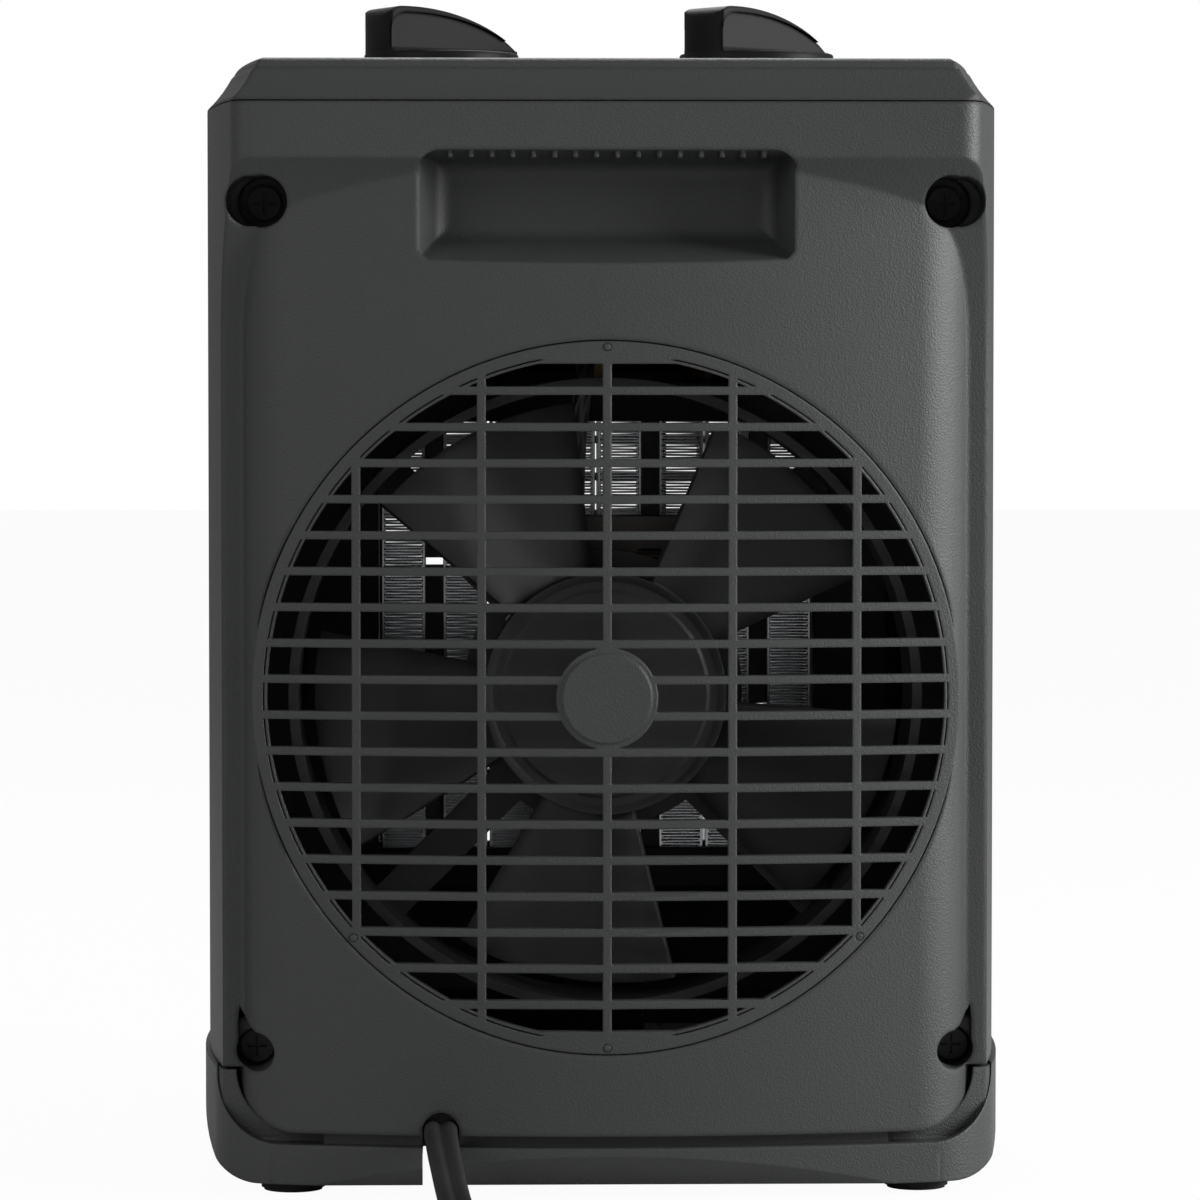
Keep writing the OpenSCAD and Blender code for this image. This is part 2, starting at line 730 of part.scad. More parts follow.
// Rear shell: bowed back under a flat block, finger recess, screw pockets and the seat of the intake grille
module rear_shell() {
  color([0.24, 0.24, 0.25]) difference() {
    union() {
      difference() {
        intersection() {
          rear_form(0);
          behind_seam();
        }
        rear_form(wall_t);
        intersection() {
          block([-lip_x - seam_gap, 0, 0], [lip_x + seam_gap, base_d, ledge_z]);
          along_z(0, ledge_z) case_plan("dome", wall_t);
        }
      }
      intersection() {
        rear_form(0.5);
        behind_seam();
        union() {
          along_y(back_y - recess_depth - recess_wall, back_y)
            translate([0, recess_z])
              round_rect(recess_w + 2 * recess_wall, recess_h + 2 * recess_wall,
                   recess_r + recess_wall);
          for (p = screw_places)
            rod_y(p[0], p[1], boss_r, split_y, back_y);
          for (s = [-1, 1])
            rod_y(s * (pocket_x + pocket_draw), pocket_z, boss_r, split_y + 1, back_y);
          base_boss(boss_y);
          intersection() {
            back_sheet(disc_t + seam_gap, disc_t + seam_gap + 2.4, 0, wall_top);
            along_y(0, base_d) translate([0, grille_z]) difference() {
              circle(disc_r + 3);
              circle(field_r);
            }
          }
        }
      }
    }
    difference() {
      intersection() {
        along_y(0, base_d) translate([0, recess_z]) round_rect(recess_w, recess_h, recess_r);
        along_z(0, 2 * wall_top) polygon(well(recess_in_side, recess_in_side, recess_w / 2));
        along_x(-base_w, base_w)
          polygon([for (p = well(recess_in_top, recess_in_low, recess_h / 2)) [p[1], p[0] + recess_z]]);
      }
      // Grip ribs are left standing on the recess's ceiling
      for (i = [0 : rib_count - 1])
        translate([(i - (rib_count - 1) / 2) * rib_pitch - rib_w / 2, back_y - rib_l - 1.5,
             recess_z + recess_h / 2 - rib_drop])
          cube([rib_w, rib_l, 2 * rib_drop]);
    }
    for (p = screw_places) {
      rod_y(p[0], p[1], p[1] < 100 ? low_pocket_r : pocket_r, screw_seat_y, base_d);
      rod_y(p[0], p[1], screw_r + screw_gap, split_y, back_y);
    }
    // The upper pockets open to the sides, and the lower ones run out upwards
    for (s = [-1, 1]) {
      rod_y(s * (pocket_x + pocket_draw), pocket_z, pocket_r - 0.2, screw_seat_y + 6, base_d);
      along_y(screw_seat_y + 6, base_d)
        polygon([for (q = pocket_tail) [s * (low_pocket_x + q[0]), low_pocket_z + q[1]]]);
    }
    intersection() {
      back_sheet(-5, disc_t + seam_gap, 0, wall_top);
      along_y(0, base_d) translate([0, grille_z]) circle(disc_r + seam_gap);
    }
    along_y(back_y - 14, base_d) translate([0, grille_z]) circle(field_r);
    pin_bores(pin_r + 0.1);
    base_boss_bore(boss_y);
    cord_notch(boss_y + 10);
  }
}

pin_angles = [90, 270, 223.5, 316.5];
module pin_bores(r) {
  for (a = pin_angles)
    rod_y(pin_at_r * cos(a), grille_z + pin_at_r * sin(a), r, pin_y(a) - 3.4, base_d);
}
// Depth position of the disc's face at a pin
function pin_y(a) =
  back_y - back_bow_r + sqrt(pow(back_bow_r, 2) - pow(pin_at_r * cos(a), 2));

// Intake grille: a bowed disc of crossbars and uprights with a plate and a raised button in the middle
module rear_grille() {
  reach = bar_count * bar_pitch / 2;
  color([0.24, 0.24, 0.25]) difference() {
    union() {
      intersection() {
        back_sheet(0, disc_t, 0, wall_top);
        along_y(0, base_d) translate([0, grille_z]) difference() {
          circle(disc_r);
          grille_field(0);
        }
      }
      intersection() {
        back_sheet(0, bar_depth, 0, wall_top);
        along_y(0, base_d) translate([0, grille_z]) {
          intersection() {
            grille_field(0);
            union() {
              for (i = [0 : bar_count - 1])
                translate([0, (i - (bar_count - 1) / 2) * bar_pitch])
                  square([2 * disc_r, bar_w], center = true);
              for (i = [0 : post_count - 1])
                translate([(i - (post_count - 1) / 2) * post_pitch, 0])
                  square([post_w, 2 * reach + bar_pitch], center = true);
              circle(hub_plate_r);
            }
          }
          difference() {
            circle(field_r - seam_gap);
            grille_field(bar_w / 2);
          }
        }
      }
      rod_y(0, grille_z, hub_button_r, back_y - bar_depth, back_y + grille_rise);
    }
    pin_bores(pin_r + 0.1);
  }
}

// 2D: the open field of the grille, drawn in by inset
module grille_field(inset) {
  intersection() {
    circle(field_r - inset);
    square([2 * disc_r, 2 * (field_flat - inset)], center = true);
  }
}

// Four pins that hold the intake grille in its seat
module grille_pins() {
  color([0.2, 0.2, 0.21])
    for (a = pin_angles)
      rod_y(pin_at_r * cos(a), grille_z + pin_at_r * sin(a), pin_r, pin_y(a) - 3.2, pin_y(a) + 0.1);
}

// Outlet grille: a bowed plate with louvres and four uprights
module front_grille() {
  count = floor(outlet_h / louvre_pitch / 2);
  color([0.17, 0.17, 0.18]) {
    intersection() {
      front_sheet(0, disc_t, 0, wall_top);
      along_y(-base_d, 0) difference() {
        outlet_face(outlet_flange);
        outlet_face(-1.5);
      }
    }
    intersection() {
      front_sheet(0, louvre_depth, 0, wall_top);
      along_y(-base_d, 0) {
        difference() {
          outlet_face(-seam_gap);
          outlet_face(-1.5);
        }
        intersection() {
          outlet_face(-seam_gap);
          union() {
            for (i = [-count : count])
              translate([0, outlet_z + i * louvre_pitch])
                square([outlet_w, louvre_t], center = true);
            for (x = [-1.5, -0.5, 0.5, 1.5])
              translate([x * outlet_w / 4, outlet_z])
                square([post_w, outlet_h], center = true);
          }
        }
      }
    }
  }
}

// 2D: the top cover's plan, drawn in by inset
module cover_plan(inset) {
  side_r = side_bow_r - inset;
  bowed_half(case_w - 2 * inset, back_y - inset, side_r, 0, max(block_edge_r - inset / 2, 2));
  mirror([0, 1])
    bowed_half(case_w - 2 * inset, back_y - inset, side_r, front_bow_r - inset, front_edge_r - inset);
}

// 2D: the same plan with sharp corners, for the hollows inside the top cover
module hollow_plan(inset) {
  intersection() {
    for_bow(-1) circle(side_bow_r - inset, $fn = BIG);
    for_bow(1) circle(side_bow_r - inset, $fn = BIG);
    translate([0, front_bow_r - back_y]) circle(front_bow_r - inset, $fn = BIG);
    translate([-case_w, -case_w]) square([2 * case_w, case_w + back_y - inset]);
  }
}
module for_bow(s) {
  translate([s * (case_w / 2 - side_bow_r), 0]) children();
}

// 2D: the edge of the top cover, seen in section: a hollow cove under a round top edge
cove_r = 30;
cover_edge_r = 2.4;
module cove_section(reach) {
  round_at = [-cove_in - 0.6, cove_h - cover_edge_r];
  difference() {
    translate([-reach, 0]) square([reach + 1, cove_h - cover_edge_r]);
    translate([cove_r * 0.7, cove_r * 0.7 + 0.6]) circle(cove_r, $fn = BIG);
  }
  translate([-reach, 0]) square([reach + round_at[0], cove_h]);
  translate(round_at) circle(cover_edge_r);
}

// The cove's section carried round the left or right side's bow
module cove_side(s) {
  translate([0, 0, cover_z]) for_bow(s) rotate([0, 0, s > 0 ? 180 : 0])
    rotate_extrude($fn = BIG) translate([side_bow_r, 0]) children();
}

// Top cover: a plate over a hollow cove, with a skirt inside the walls and holes for the two shafts
control_screw_r = 1.4;
control_screw_at = 12;
module top_cover() {
  color([0.24, 0.24, 0.25]) difference() {
    union() {
      intersection() {
        along_z(cover_z, cover_z + cove_h + 1) cover_plan(0);
        translate([0, 0, cover_z]) rotate([90, 0, 90]) translate([back_y, 0, -case_w])
          linear_extrude(2 * case_w) cove_section(2 * case_w);
        cove_side(1) cove_section(240);
        cove_side(-1) cove_section(240);
        translate([0, front_bow_r - back_y, cover_z])
          rotate_extrude($fn = BIG) translate([front_bow_r, 0]) cove_section(240);
      }
      along_z(wall_top - cover_skirt, cover_z + 1) cover_plan(wall_t + seam_gap);
    }
    along_z(wall_top - cover_skirt - 1, cover_z + 1) hollow_plan(wall_t + seam_gap + 1.8);
    along_z(cover_z, cover_top - cover_t) hollow_plan(cove_in + wall_t);
    for (s = [-1, 1]) {
      translate([s * knob_x, 0, cover_z]) cylinder(r = shaft_r + 1.4, h = cove_h + 1);
      for (d = [-1, 1])
        translate([s * knob_x + d * control_screw_at, 0, cover_z]) {
          cylinder(r = control_screw_r + screw_gap, h = cove_h + 1);
          translate([0, 0, cove_h - 1.4]) cylinder(r = control_screw_r + 1.4, h = 3);
        }
    }
  }
}

// One screw along +Z, head down: shank length l
module screw(r, head_r, head_h, l) {
  difference() {
    union() {
      cylinder(r = head_r, h = head_h);
      cylinder(r = r, h = head_h + l);
    }
    translate([-head_r * 0.6, -0.35, -1]) cube([head_r * 1.2, 0.7, 1 + head_h * 0.5]);
    translate([-0.35, -head_r * 0.6, -1]) cube([0.7, head_r * 1.2, 1 + head_h * 0.5]);
  }
}

// Screws that join the two shells, driven from behind
module case_screws() {
  color([0.3, 0.3, 0.31])
    for (p = screw_places)
      translate([p[0], screw_seat_y + 2.2, p[1]]) rotate([90, 0, 0])
        screw(screw_r, screw_head_r, 2.2, screw_seat_y - split_y + 16);
}

// Screws that hold the case on the base, driven from below
module base_screws() {
  color([0.6, 0.6, 0.62])
    for (sx = [-1, 1], sy = [-1, 1])
      translate([sx * boss_x, sy * boss_y, rim_z - floor_t - 2])
        screw(screw_r, screw_head_r - 0.4, 2, floor_t + skirt_gap + 14);
}

// 2D: the D section of a control shaft with radius r
module d_section(r) {
  difference() {
    circle(r);
    translate([-r, r - shaft_flat]) square([2 * r, r]);
  }
}

// 2D: a grip seen from the side, its tall end at +X, over the knob's foot
module grip_profile(low) {
  top_r = 3 * knob_h;
  tall = knob_r - 0.2;
  intersection() {
    translate([tall - 5, knob_z + knob_h - knob_gap - top_r]) circle(top_r, $fn = 180);
    union() {
      translate([-tall + 3, low]) square([2 * tall - 3, knob_h + 1]);
      translate([-tall + 3, low]) circle(3);
      translate([-tall, low - 3]) square([6, 3]);
    }
    translate([-tall, low]) square([2 * tall, knob_h * 2]);
    union() {
      translate([-tall, low]) square([2 * tall, knob_h - knob_gap - (low - knob_z) - 3]);
      translate([-tall, low]) square([2 * tall - 3, knob_h + 1]);
      translate([tall - 3, knob_z + knob_h - knob_gap - 3]) circle(3);
    }
  }
}

// A knob about its own axis: round foot, tapering grip with a scoop in each side, D bore
module knob() {
  low = knob_z + knob_foot_h - 1;
  inner = knob_r - 5;
  difference() {
    union() {
      translate([0, 0, knob_z]) cylinder(r = knob_r, h = knob_foot_h - 0.8);
      translate([0, 0, knob_z + knob_foot_h - 0.8]) cylinder(r1 = knob_r, r2 = knob_r - 0.8, h = 0.8);
      intersection() {
        along_y(-grip_t / 2, grip_t / 2) grip_profile(low);
        translate([0, 0, knob_z]) cylinder(r = knob_r - 0.2, h = 2 * knob_h);
      }
    }
    for (s = [-1, 1])
      intersection() {
        block([-2 * knob_r, min(s * (grip_t / 2 - scoop_t), s * grip_t), low + 1],
           [inner, max(s * (grip_t / 2 - scoop_t), s * grip_t), cover_top + 2 * knob_h]);
        along_y(-grip_t, grip_t) difference() {
          translate([-2 * knob_r, low]) square([4 * knob_r, 2 * knob_h]);
          translate([-2 * knob_r, knob_z + knob_h - knob_gap - 1.2]) square([4 * knob_r, knob_h]);
        }
      }
    along_z(knob_z - 1, shaft_top + 0.3) d_section(shaft_r + shaft_fit);
    translate([0, 0, knob_z - 1]) cylinder(r = knob_r - 3, h = 2.4);
  }
  // Collar round the bore under the foot
  translate([0, 0, knob_z]) linear_extrude(2.4) difference() {
    circle(shaft_r + 2.4);
    d_section(shaft_r + shaft_fit);
  }
}

shaft_top = knob_z + knob_h - 4.4;
control_z = cover_top - cover_t;
plate_t = 1.2;
body_drop = 15;

module thermostat_knob() {
  color([0.13, 0.13, 0.14])
    translate([knob_x, 0, 0]) rotate([0, 0, thermostat_rest]) knob();
}
module mode_knob() {
  color([0.13, 0.13, 0.14])
    translate([-knob_x, 0, 0]) rotate([0, 0, mode_rest]) knob();
}

// A control shaft: round in its bush, D-shaped in the knob, with a cam at its lower end
module control_shaft(cam_r) {
  along_z(knob_z - 0.5, shaft_top) d_section(shaft_r);
  along_z(control_z - 10, knob_z - 0.5) circle(shaft_r);
  along_z(control_z - 11, control_z - 8) circle(cam_r);
}
module thermostat_shaft() {
  color("silver") translate([knob_x, 0, 0]) rotate([0, 0, thermostat_rest]) control_shaft(4.4);
}
module mode_shaft() {
  color([0.85, 0.85, 0.82]) translate([-knob_x, 0, 0]) rotate([0, 0, mode_rest]) control_shaft(5);
}

// What carries a control shaft: a fixing plate under the cover over a hollow body
module control_body(w, d, cam_r) {
  difference() {
    union() {
      block([-16, -5, control_z - plate_t - 0.1], [16, 5, control_z - 0.1]);
      block([-w / 2, -d / 2, control_z - body_drop], [w / 2, d / 2, control_z - plate_t]);
    }
    translate([0, 0, control_z - 5]) cylinder(r = shaft_r + 0.2, h = 6);
    translate([0, 0, control_z - 12]) cylinder(r = cam_r + 0.4, h = 8);
    for (d2 = [-1, 1])
      translate([d2 * control_screw_at, 0, control_z - 8]) cylinder(r = control_screw_r + screw_gap, h = 9);
  }
  for (x = [-0.3, 0.3])
    translate([x * w - 0.4, -3, control_z - body_drop - 7]) cube([0.8, 6, 7]);
}
module thermostat_body() {
  color([0.82, 0.8, 0.74]) translate([knob_x, 0, 0]) control_body(30, 17, 4.4);
}
module rotary_switch() {
  color([0.15, 0.15, 0.16]) translate([-knob_x, 0, 0]) control_body(30, 26, 5);
}
module control_screws() {
  color("silver")
    for (s = [-1, 1], d = [-1, 1])
      translate([s * knob_x + d * control_screw_at, 0, cover_top - 0.1]) mirror([0, 0, 1])
        screw(control_screw_r, control_screw_r + 1.1, 1.3, cover_t + 4);
}

// Fan: pitched blades on a hub with a rim round its back
hub_wall = 2.5;
hub_rim_h = 1.2;
module fan_blade() {
  low = fan_y - fan_hub_h / 2;
  high = fan_y + fan_hub_h / 2;
  reach = fan_r * sin(blade_span / 2) / cos(blade_pitch) + 1;
  color([0.1, 0.1, 0.1]) difference() {
    union() {
      rod_y(0, grille_z, fan_hub_r, low, high);
      for (i = [0 : blade_count - 1])
        translate([0, fan_y, grille_z]) rotate([0, i * 360 / blade_count + blade_rest, 0])
          intersection() {
            rotate([blade_pitch, 0, 0]) block([0, -blade_t / 2, -reach], [fan_r, blade_t / 2, reach]);
            along_y(-base_d, base_d) intersection() {
              circle(fan_r);
              blade_face();
            }
          }
    }
    rod_y(0, grille_z, fan_hub_r - hub_wall, low - 1, high - 3 - hub_rim_h);
    rod_y(0, grille_z, fan_hub_r - hub_wall + 0.6, high - hub_rim_h, high + 1);
    rod_y(0, grille_z, motor_shaft_r, low, high + 1);
  }
  color([0.1, 0.1, 0.1]) difference() {
    rod_y(0, grille_z, motor_shaft_r + 2.5, low, high - 3 - hub_rim_h);
    rod_y(0, grille_z, motor_shaft_r, low - 1, high);
  }
}

// 2D: the wedge that a blade fills, seen along the shaft
module blade_face() {
  edge = 2 * fan_r * [cos(blade_span / 2), sin(blade_span / 2)];
  polygon([[0, 0], [edge[0], -edge[1]], edge]);
}

// Motor: positions along the shaft, from the duct's plate forwards
rear_bracket_y = duct_y - 0.1;
stator_back = rear_bracket_y - bracket_t - 5;
stator_mid = stator_back - stator_t / 2;
stator_front = stator_back - stator_t;
front_bracket_y = stator_front - 5;
bush_r = 5;
motor_bolt_x = stator_w / 2 - 5;

module motor_shaft() {
  color("silver")
    rod_y(0, grille_z, motor_shaft_r, front_bracket_y - bracket_t - 3, fan_y + fan_hub_h / 2);
}
module rotor() {
  color([0.55, 0.55, 0.57]) difference() {
    rod_y(0, grille_z, rotor_r, stator_front + 0.5, stator_back - 0.5);
    rod_y(0, grille_z, motor_shaft_r, 0, base_d);
  }
}
module shaft_bushes() {
  color([0.7, 0.55, 0.3])
    for (y = [rear_bracket_y - 4.4, front_bracket_y - bracket_t])
      difference() {
        rod_y(0, grille_z, bush_r, y, y + 4.4);
        rod_y(0, grille_z, motor_shaft_r + bush_fit, y - 1, y + 6);
      }
}
// 2D: a laminated frame: one window for the rotor and one for the coil's leg
coil_rise_z = stator_h * 0.31 + 7;
module motor_stator() {
  color([0.5, 0.51, 0.53]) along_y(stator_front, stator_back) translate([0, grille_z]) difference() {
    translate([-stator_w / 2, -20]) square([stator_w, stator_h]);
    circle(rotor_r + air_gap);
    for (s = [-1, 1]) {
      translate([s * (stator_w / 4 + 1) - 5.5, coil_rise_z - 6]) square([11, 12]);
      translate([s * motor_bolt_x, 15]) circle(1.9);
      translate([s * motor_bolt_x, -15]) circle(1.9);
    }
  }
}
// Coil on its bobbin, round the stator's upper leg
module motor_coil() {
  z = grille_z + coil_rise_z;
  leg = stator_w / 2 - 9;
  color([0.72, 0.5, 0.25]) along_z(z - 5.3, z + 5.3) translate([0, stator_mid]) difference() {
    round_rect(leg + 20, stator_t + 9, 3);
    square([leg + 0.4, stator_t + 0.4], center = true);
  }
}
// Bearing brackets: a strap across the motor with a round seat for the bush
module motor_bracket(y_out, side) {
  legs = [motor_bolt_x, 15];
  difference() {
    union() {
      along_y(y_out, y_out + bracket_t) translate([0, grille_z]) {
        round_rect(2 * motor_bolt_x + 9, 12, 5);
        circle(bush_r + 4);
        for (s = [-1, 1])
          translate([s * motor_bolt_x, 0]) round_rect(9, 38, 4);
      }
      for (s = [-1, 1], t = [-1, 1])
        rod_y(s * legs[0], grille_z + t * legs[1], 4, side > 0 ? stator_back : y_out,
           side > 0 ? y_out + bracket_t : stator_front);
      rod_y(0, grille_z, bush_r + 2, y_out + min(0, bracket_t - 4.4 * side), y_out + max(bracket_t, 4.4));
    }
    rod_y(0, grille_z, bush_r, y_out - 10, y_out + 10);
    for (s = [-1, 1], t = [-1, 1])
      rod_y(s * legs[0], grille_z + t * legs[1], 1.9, y_out - 20, y_out + 20);
  }
}
module rear_bracket() {
  color([0.68, 0.69, 0.7]) motor_bracket(rear_bracket_y - bracket_t, 1);
}
module front_bracket() {
  color([0.68, 0.69, 0.7]) motor_bracket(front_bracket_y - bracket_t, -1);
}
// Long screws through both brackets and the stator into the duct's plate
module motor_screws() {
  back = duct_y + 2.4;
  color("silver")
    for (s = [-1, 1], t = [-1, 1])
      translate([s * motor_bolt_x, front_bracket_y - bracket_t - 1.8, grille_z + t * 15])
        rotate([-90, 0, 0]) screw(1.7, 3.2, 1.8, back - front_bracket_y + bracket_t);
}

// Fan duct: a plate across the case, a ring round the fan and four arms that carry the motor
module fan_duct() {
  ring_t = 2.2;
  plate = 2.6;
  color([0.13, 0.13, 0.14]) difference() {
    union() {
      along_y(duct_y, duct_y + plate) translate([0, grille_z]) {
        difference() {
          round_rect(2 * post_x + 11, 2 * 60 + 14, 5);
          circle(duct_r);
        }
        circle(31);
        for (a = [45, 135])
          rotate(a) square([2 * duct_r + 2, 9], center = true);
      }
      difference() {
        rod_y(0, grille_z, duct_r + ring_t, duct_y, fan_y + 10);
        rod_y(0, grille_z, duct_r, 0, base_d);
      }
    }
    rod_y(0, grille_z, bush_r + 5, duct_y - 1, duct_y + 10);
    for (s = [-1, 1]) {
      for (t = [-1, 1])
        rod_y(s * motor_bolt_x, grille_z + t * 15, 1.9, duct_y - 1, duct_y + 10);
      for (z = duct_post_z)
        rod_y(s * post_x, z, screw_r + screw_gap, duct_y - 1, duct_y + 10);
    }
  }
}
module duct_screws() {
  color("silver")
    for (s = [-1, 1], z = duct_post_z)
      translate([s * post_x, duct_y + 2.6 + 1.8, z]) rotate([90, 0, 0])
        screw(screw_r, screw_head_r, 1.8, 12);
}

// Element frame: a heat-proof moulding round the columns, with four lugs
module element_frame() {
  y0 = element_y - element_t / 2 - 3;
  color([0.16, 0.16, 0.17]) difference() {
    union() {
      along_y(y0, element_back) translate([0, element_z]) round_rect(frame_w, frame_h, 4);
      for (s = [-1, 1], z = element_post_z)
        rod_y(s * element_post_x, z, 4.5, element_back - lug_t, element_back);
      for (z = element_post_z)
        block([-element_post_x, element_back - lug_t, z - 4.5], [element_post_x, element_back, z + 4.5]);
    }
    along_y(y0 - 1, element_back + 1) translate([0, element_z])
      square([fins_w + 2 * frame_slit, column_h - 4], center = true);
    along_y(y0 + 3, element_back - 3 + 0.01) translate([0, element_z])
      square([fins_w + 2 * frame_slit, column_h + 1], center = true);
    for (s = [-1, 1], z = element_post_z)
      rod_y(s * element_post_x, z, screw_r + screw_gap, y0, element_back + 1);
    for (x = tab_x)
      block([x - 3.2, element_y - 0.6, element_z], [x + 3.2, element_y + 0.6, element_z + frame_h]);
  }
}
module element_screws() {
  color("silver")
    for (s = [-1, 1], z = element_post_z)
      translate([s * element_post_x, element_back + 1.8, z]) rotate([90, 0, 0])
        screw(screw_r, screw_head_r - 0.4, 1.8, lug_t + 8);
}

// Fin columns: thin level fins between two side plates
module fin_column() {
  count = floor(column_h / fold_pitch) - 1;
  for (s = [-1, 1])
    translate([s * (column_w / 2 - 0.5) - 0.5, -column_h / 2]) square([1, column_h]);
  for (i = [0 : count - 1])
    translate([-column_w / 2 + 0.5, (i - (count - 1) / 2) * fold_pitch]) square([column_w - 1, fold_t]);
}
// Middle of a heater bar
function pair_x(i) = (i - (pair_count - 1) / 2) * (pair_w + pair_gap);
module element_fins() {
  color([0.78, 0.79, 0.81])
    for (i = [0 : pair_count - 1], s = [-1, 1])
      along_y(element_y - element_t / 2, element_y + element_t / 2)
        translate([pair_x(i) + s * (stone_t + column_w) / 2, element_z]) fin_column();
}

// Ceramic stones in a row between the columns of each heater bar
stone_gap = 2;
module element_stones() {
  stone_h = (column_h - 2) / stone_count - stone_gap;
  color([0.9, 0.88, 0.84])
    for (i = [0 : pair_count - 1], j = [0 : stone_count - 1])
      translate([pair_x(i), element_y, element_z + (j - (stone_count - 1) / 2) * (stone_h + stone_gap)])
        cube([stone_t, element_t - 4, stone_h], center = true);
}

// Flat tabs on the outer columns, for the supply leads
tab_at = 48.6;
tab_x = [-tab_at, 0, tab_at];
module element_terminals() {
  color([0.8, 0.72, 0.45])
    for (x = tab_x)
      translate([x - 3, element_y - 0.4, element_z + column_h / 2 + 0.6]) cube([6, 0.8, frame_end + 8]);
}

// Cut-out: a bimetal disc on the element frame's top, with two tabs
module thermal_cutout() {
  z = element_z + frame_h / 2;
  color([0.35, 0.2, 0.12]) {
    translate([-27, element_y, z]) cylinder(r = 6.5, h = 6);
    for (s = [-1, 1])
      translate([-27 + s * 4 - 0.4, element_y - 2.5, z + 6]) cube([0.8, 5, 7]);
  }
}

// Tip-over plunger: pressed in by the table, pushed out by its spring when the heater is lifted
flange_z = rim_z + plunger_travel + 0.2;
bracket_z = flange_z + 14;
module tip_plunger() {
  color([0.8, 0.8, 0.78]) translate([plunger_x, 0, 0]) {
    cylinder(r1 = plunger_r - 1, r2 = plunger_r, h = 1);
    translate([0, 0, 1]) cylinder(r = plunger_r, h = flange_z - 1);
    translate([0, 0, flange_z]) cylinder(r = plunger_r + 1.8, h = 1.6);
    translate([0, 0, flange_z]) cylinder(r = 2, h = bracket_z - flange_z + 4.6);
  }
}
module tip_bracket() {
  inner = plunger_r + 3.4;
  color("silver") translate([plunger_x, 0, 0]) difference() {
    union() {
      for (s = [-1, 1])
        block([min(s * inner, s * (inner + 1.6)), -6, rim_z + 0.05],
           [max(s * inner, s * (inner + 1.6)), 6, bracket_z + 1.6]);
      block([-inner - 1.6, -6, bracket_z], [inner + 1.6, 14, bracket_z + 1.6]);
      for (s = [-1, 1])
        block([min(s * inner, s * (inner + 8)), -6, rim_z + 0.05],
           [max(s * inner, s * (inner + 8)), 6, rim_z + 1.6]);
    }
    translate([0, 0, bracket_z - 1]) cylinder(r = 2.5, h = 4);
  }
}
module tip_switch() {
  z = bracket_z + 1.7;
  color([0.12, 0.12, 0.13]) translate([plunger_x, 0, 0]) {
    block([-10, 4, z], [10, 10.4, z + 10]);
    block([-9.5, -3, z + 3.4], [9.5, 4.2, z + 4]);
  }
}

// Sweep: rings of points carried along a route. Each ring's flat side turns by its own roll.
function unit(v) = v / norm(v);
function heading(p, i) = unit(p[min(i + 1, len(p) - 1)] - p[max(i - 1, 0)]);
function ring(p, t, roll, shape) =
  let (s = unit(cross(t, [0, 0, 1])), u = cross(s, t), a = cos(roll) * s + sin(roll) * u,
    b = cos(roll) * u - sin(roll) * s)
  [for (q = shape) p + q[0] * a + q[1] * b];
module sweep(p, rolls, shape, ends = undef) {
  n = len(shape);
  m = len(p);
  dir = [for (i = [0 : m - 1])
    i == 0 && ends != undef ? ends[0] : i == m - 1 && ends != undef ? ends[1] : heading(p, i)];
  points = [for (i = [0 : m - 1]) each ring(p[i], dir[i], rolls[i], shape)];
  sides = [for (i = [0 : m - 2], j = [0 : n - 1])
    let (a = i * n + j, b = i * n + (j + 1) % n, c = a + n, d = b + n) each [[a, b, d], [a, d, c]]];
  caps = [for (j = [1 : n - 2]) each [[0, j + 1, j], [(m - 1) * n, (m - 1) * n + j, (m - 1) * n + j + 1]]];
  polyhedron(points = points, faces = concat(sides, caps));
}
// A ring's outline: an oval of the given width and thickness on n sides
function oval(w, t, n) =
  [for (i = [0 : n - 1]) [w / 2 * cos(i * 360 / n), t / 2 * sin(i * 360 / n) / (n == 6 ? 0.866 : 0.95)]];
function level(n, value) = [for (i = [0 : n - 1]) value];

// Tip-over spring round the plunger's stem
spring_r = 3.7;
spring_wire = 0.7;
spring_turns = 6;
module tip_spring() {
  low = flange_z + 1.6 + spring_wire / 2 + 0.1;
  high = bracket_z - spring_wire / 2 - 0.1;
  n = spring_turns * 8;
  p = [for (i = [0 : n])
    [plunger_x + spring_r * cos(45 * i), spring_r * sin(45 * i), low + (high - low) * i / n]];
  color("silver") sweep(p, level(n + 1, 0), oval(spring_wire, spring_wire, 6));
}

// Strain relief: a block held in the base's saddle and a tapered neck that ends behind the notch
relief_y = 50;
relief_w = 11;
relief_low = 11.5;
relief_top = 20.5;
relief_z = 15.2;
relief_end = 69;
module strain_relief() {
  color([0.07, 0.07, 0.07]) {
    block([notch_x - relief_w / 2, relief_y - 3.4, relief_low],
       [notch_x + relief_w / 2, relief_y + 3.4, relief_top - 0.4]);
    block([notch_x - relief_w / 2 - 2, relief_y + 3.4, relief_low],
        [notch_x + relief_w / 2 + 2, relief_y + 5, relief_top]);
    intersection() {
      translate([notch_x, relief_y, relief_z]) rotate([-90, 0, 0])
        cylinder(r1 = 5, r2 = cord_w / 2 + 0.1, h = relief_end - relief_y);
      block([notch_x - 10, relief_y, relief_z - 3.2], [notch_x + 10, relief_end, relief_z + 3.2]);
    }
    block([notch_x - cord_w / 2, relief_y - 12, relief_z - cord_t / 2],
       [notch_x + cord_w / 2, relief_y - 3.4, relief_z + cord_t / 2]);
  }
}

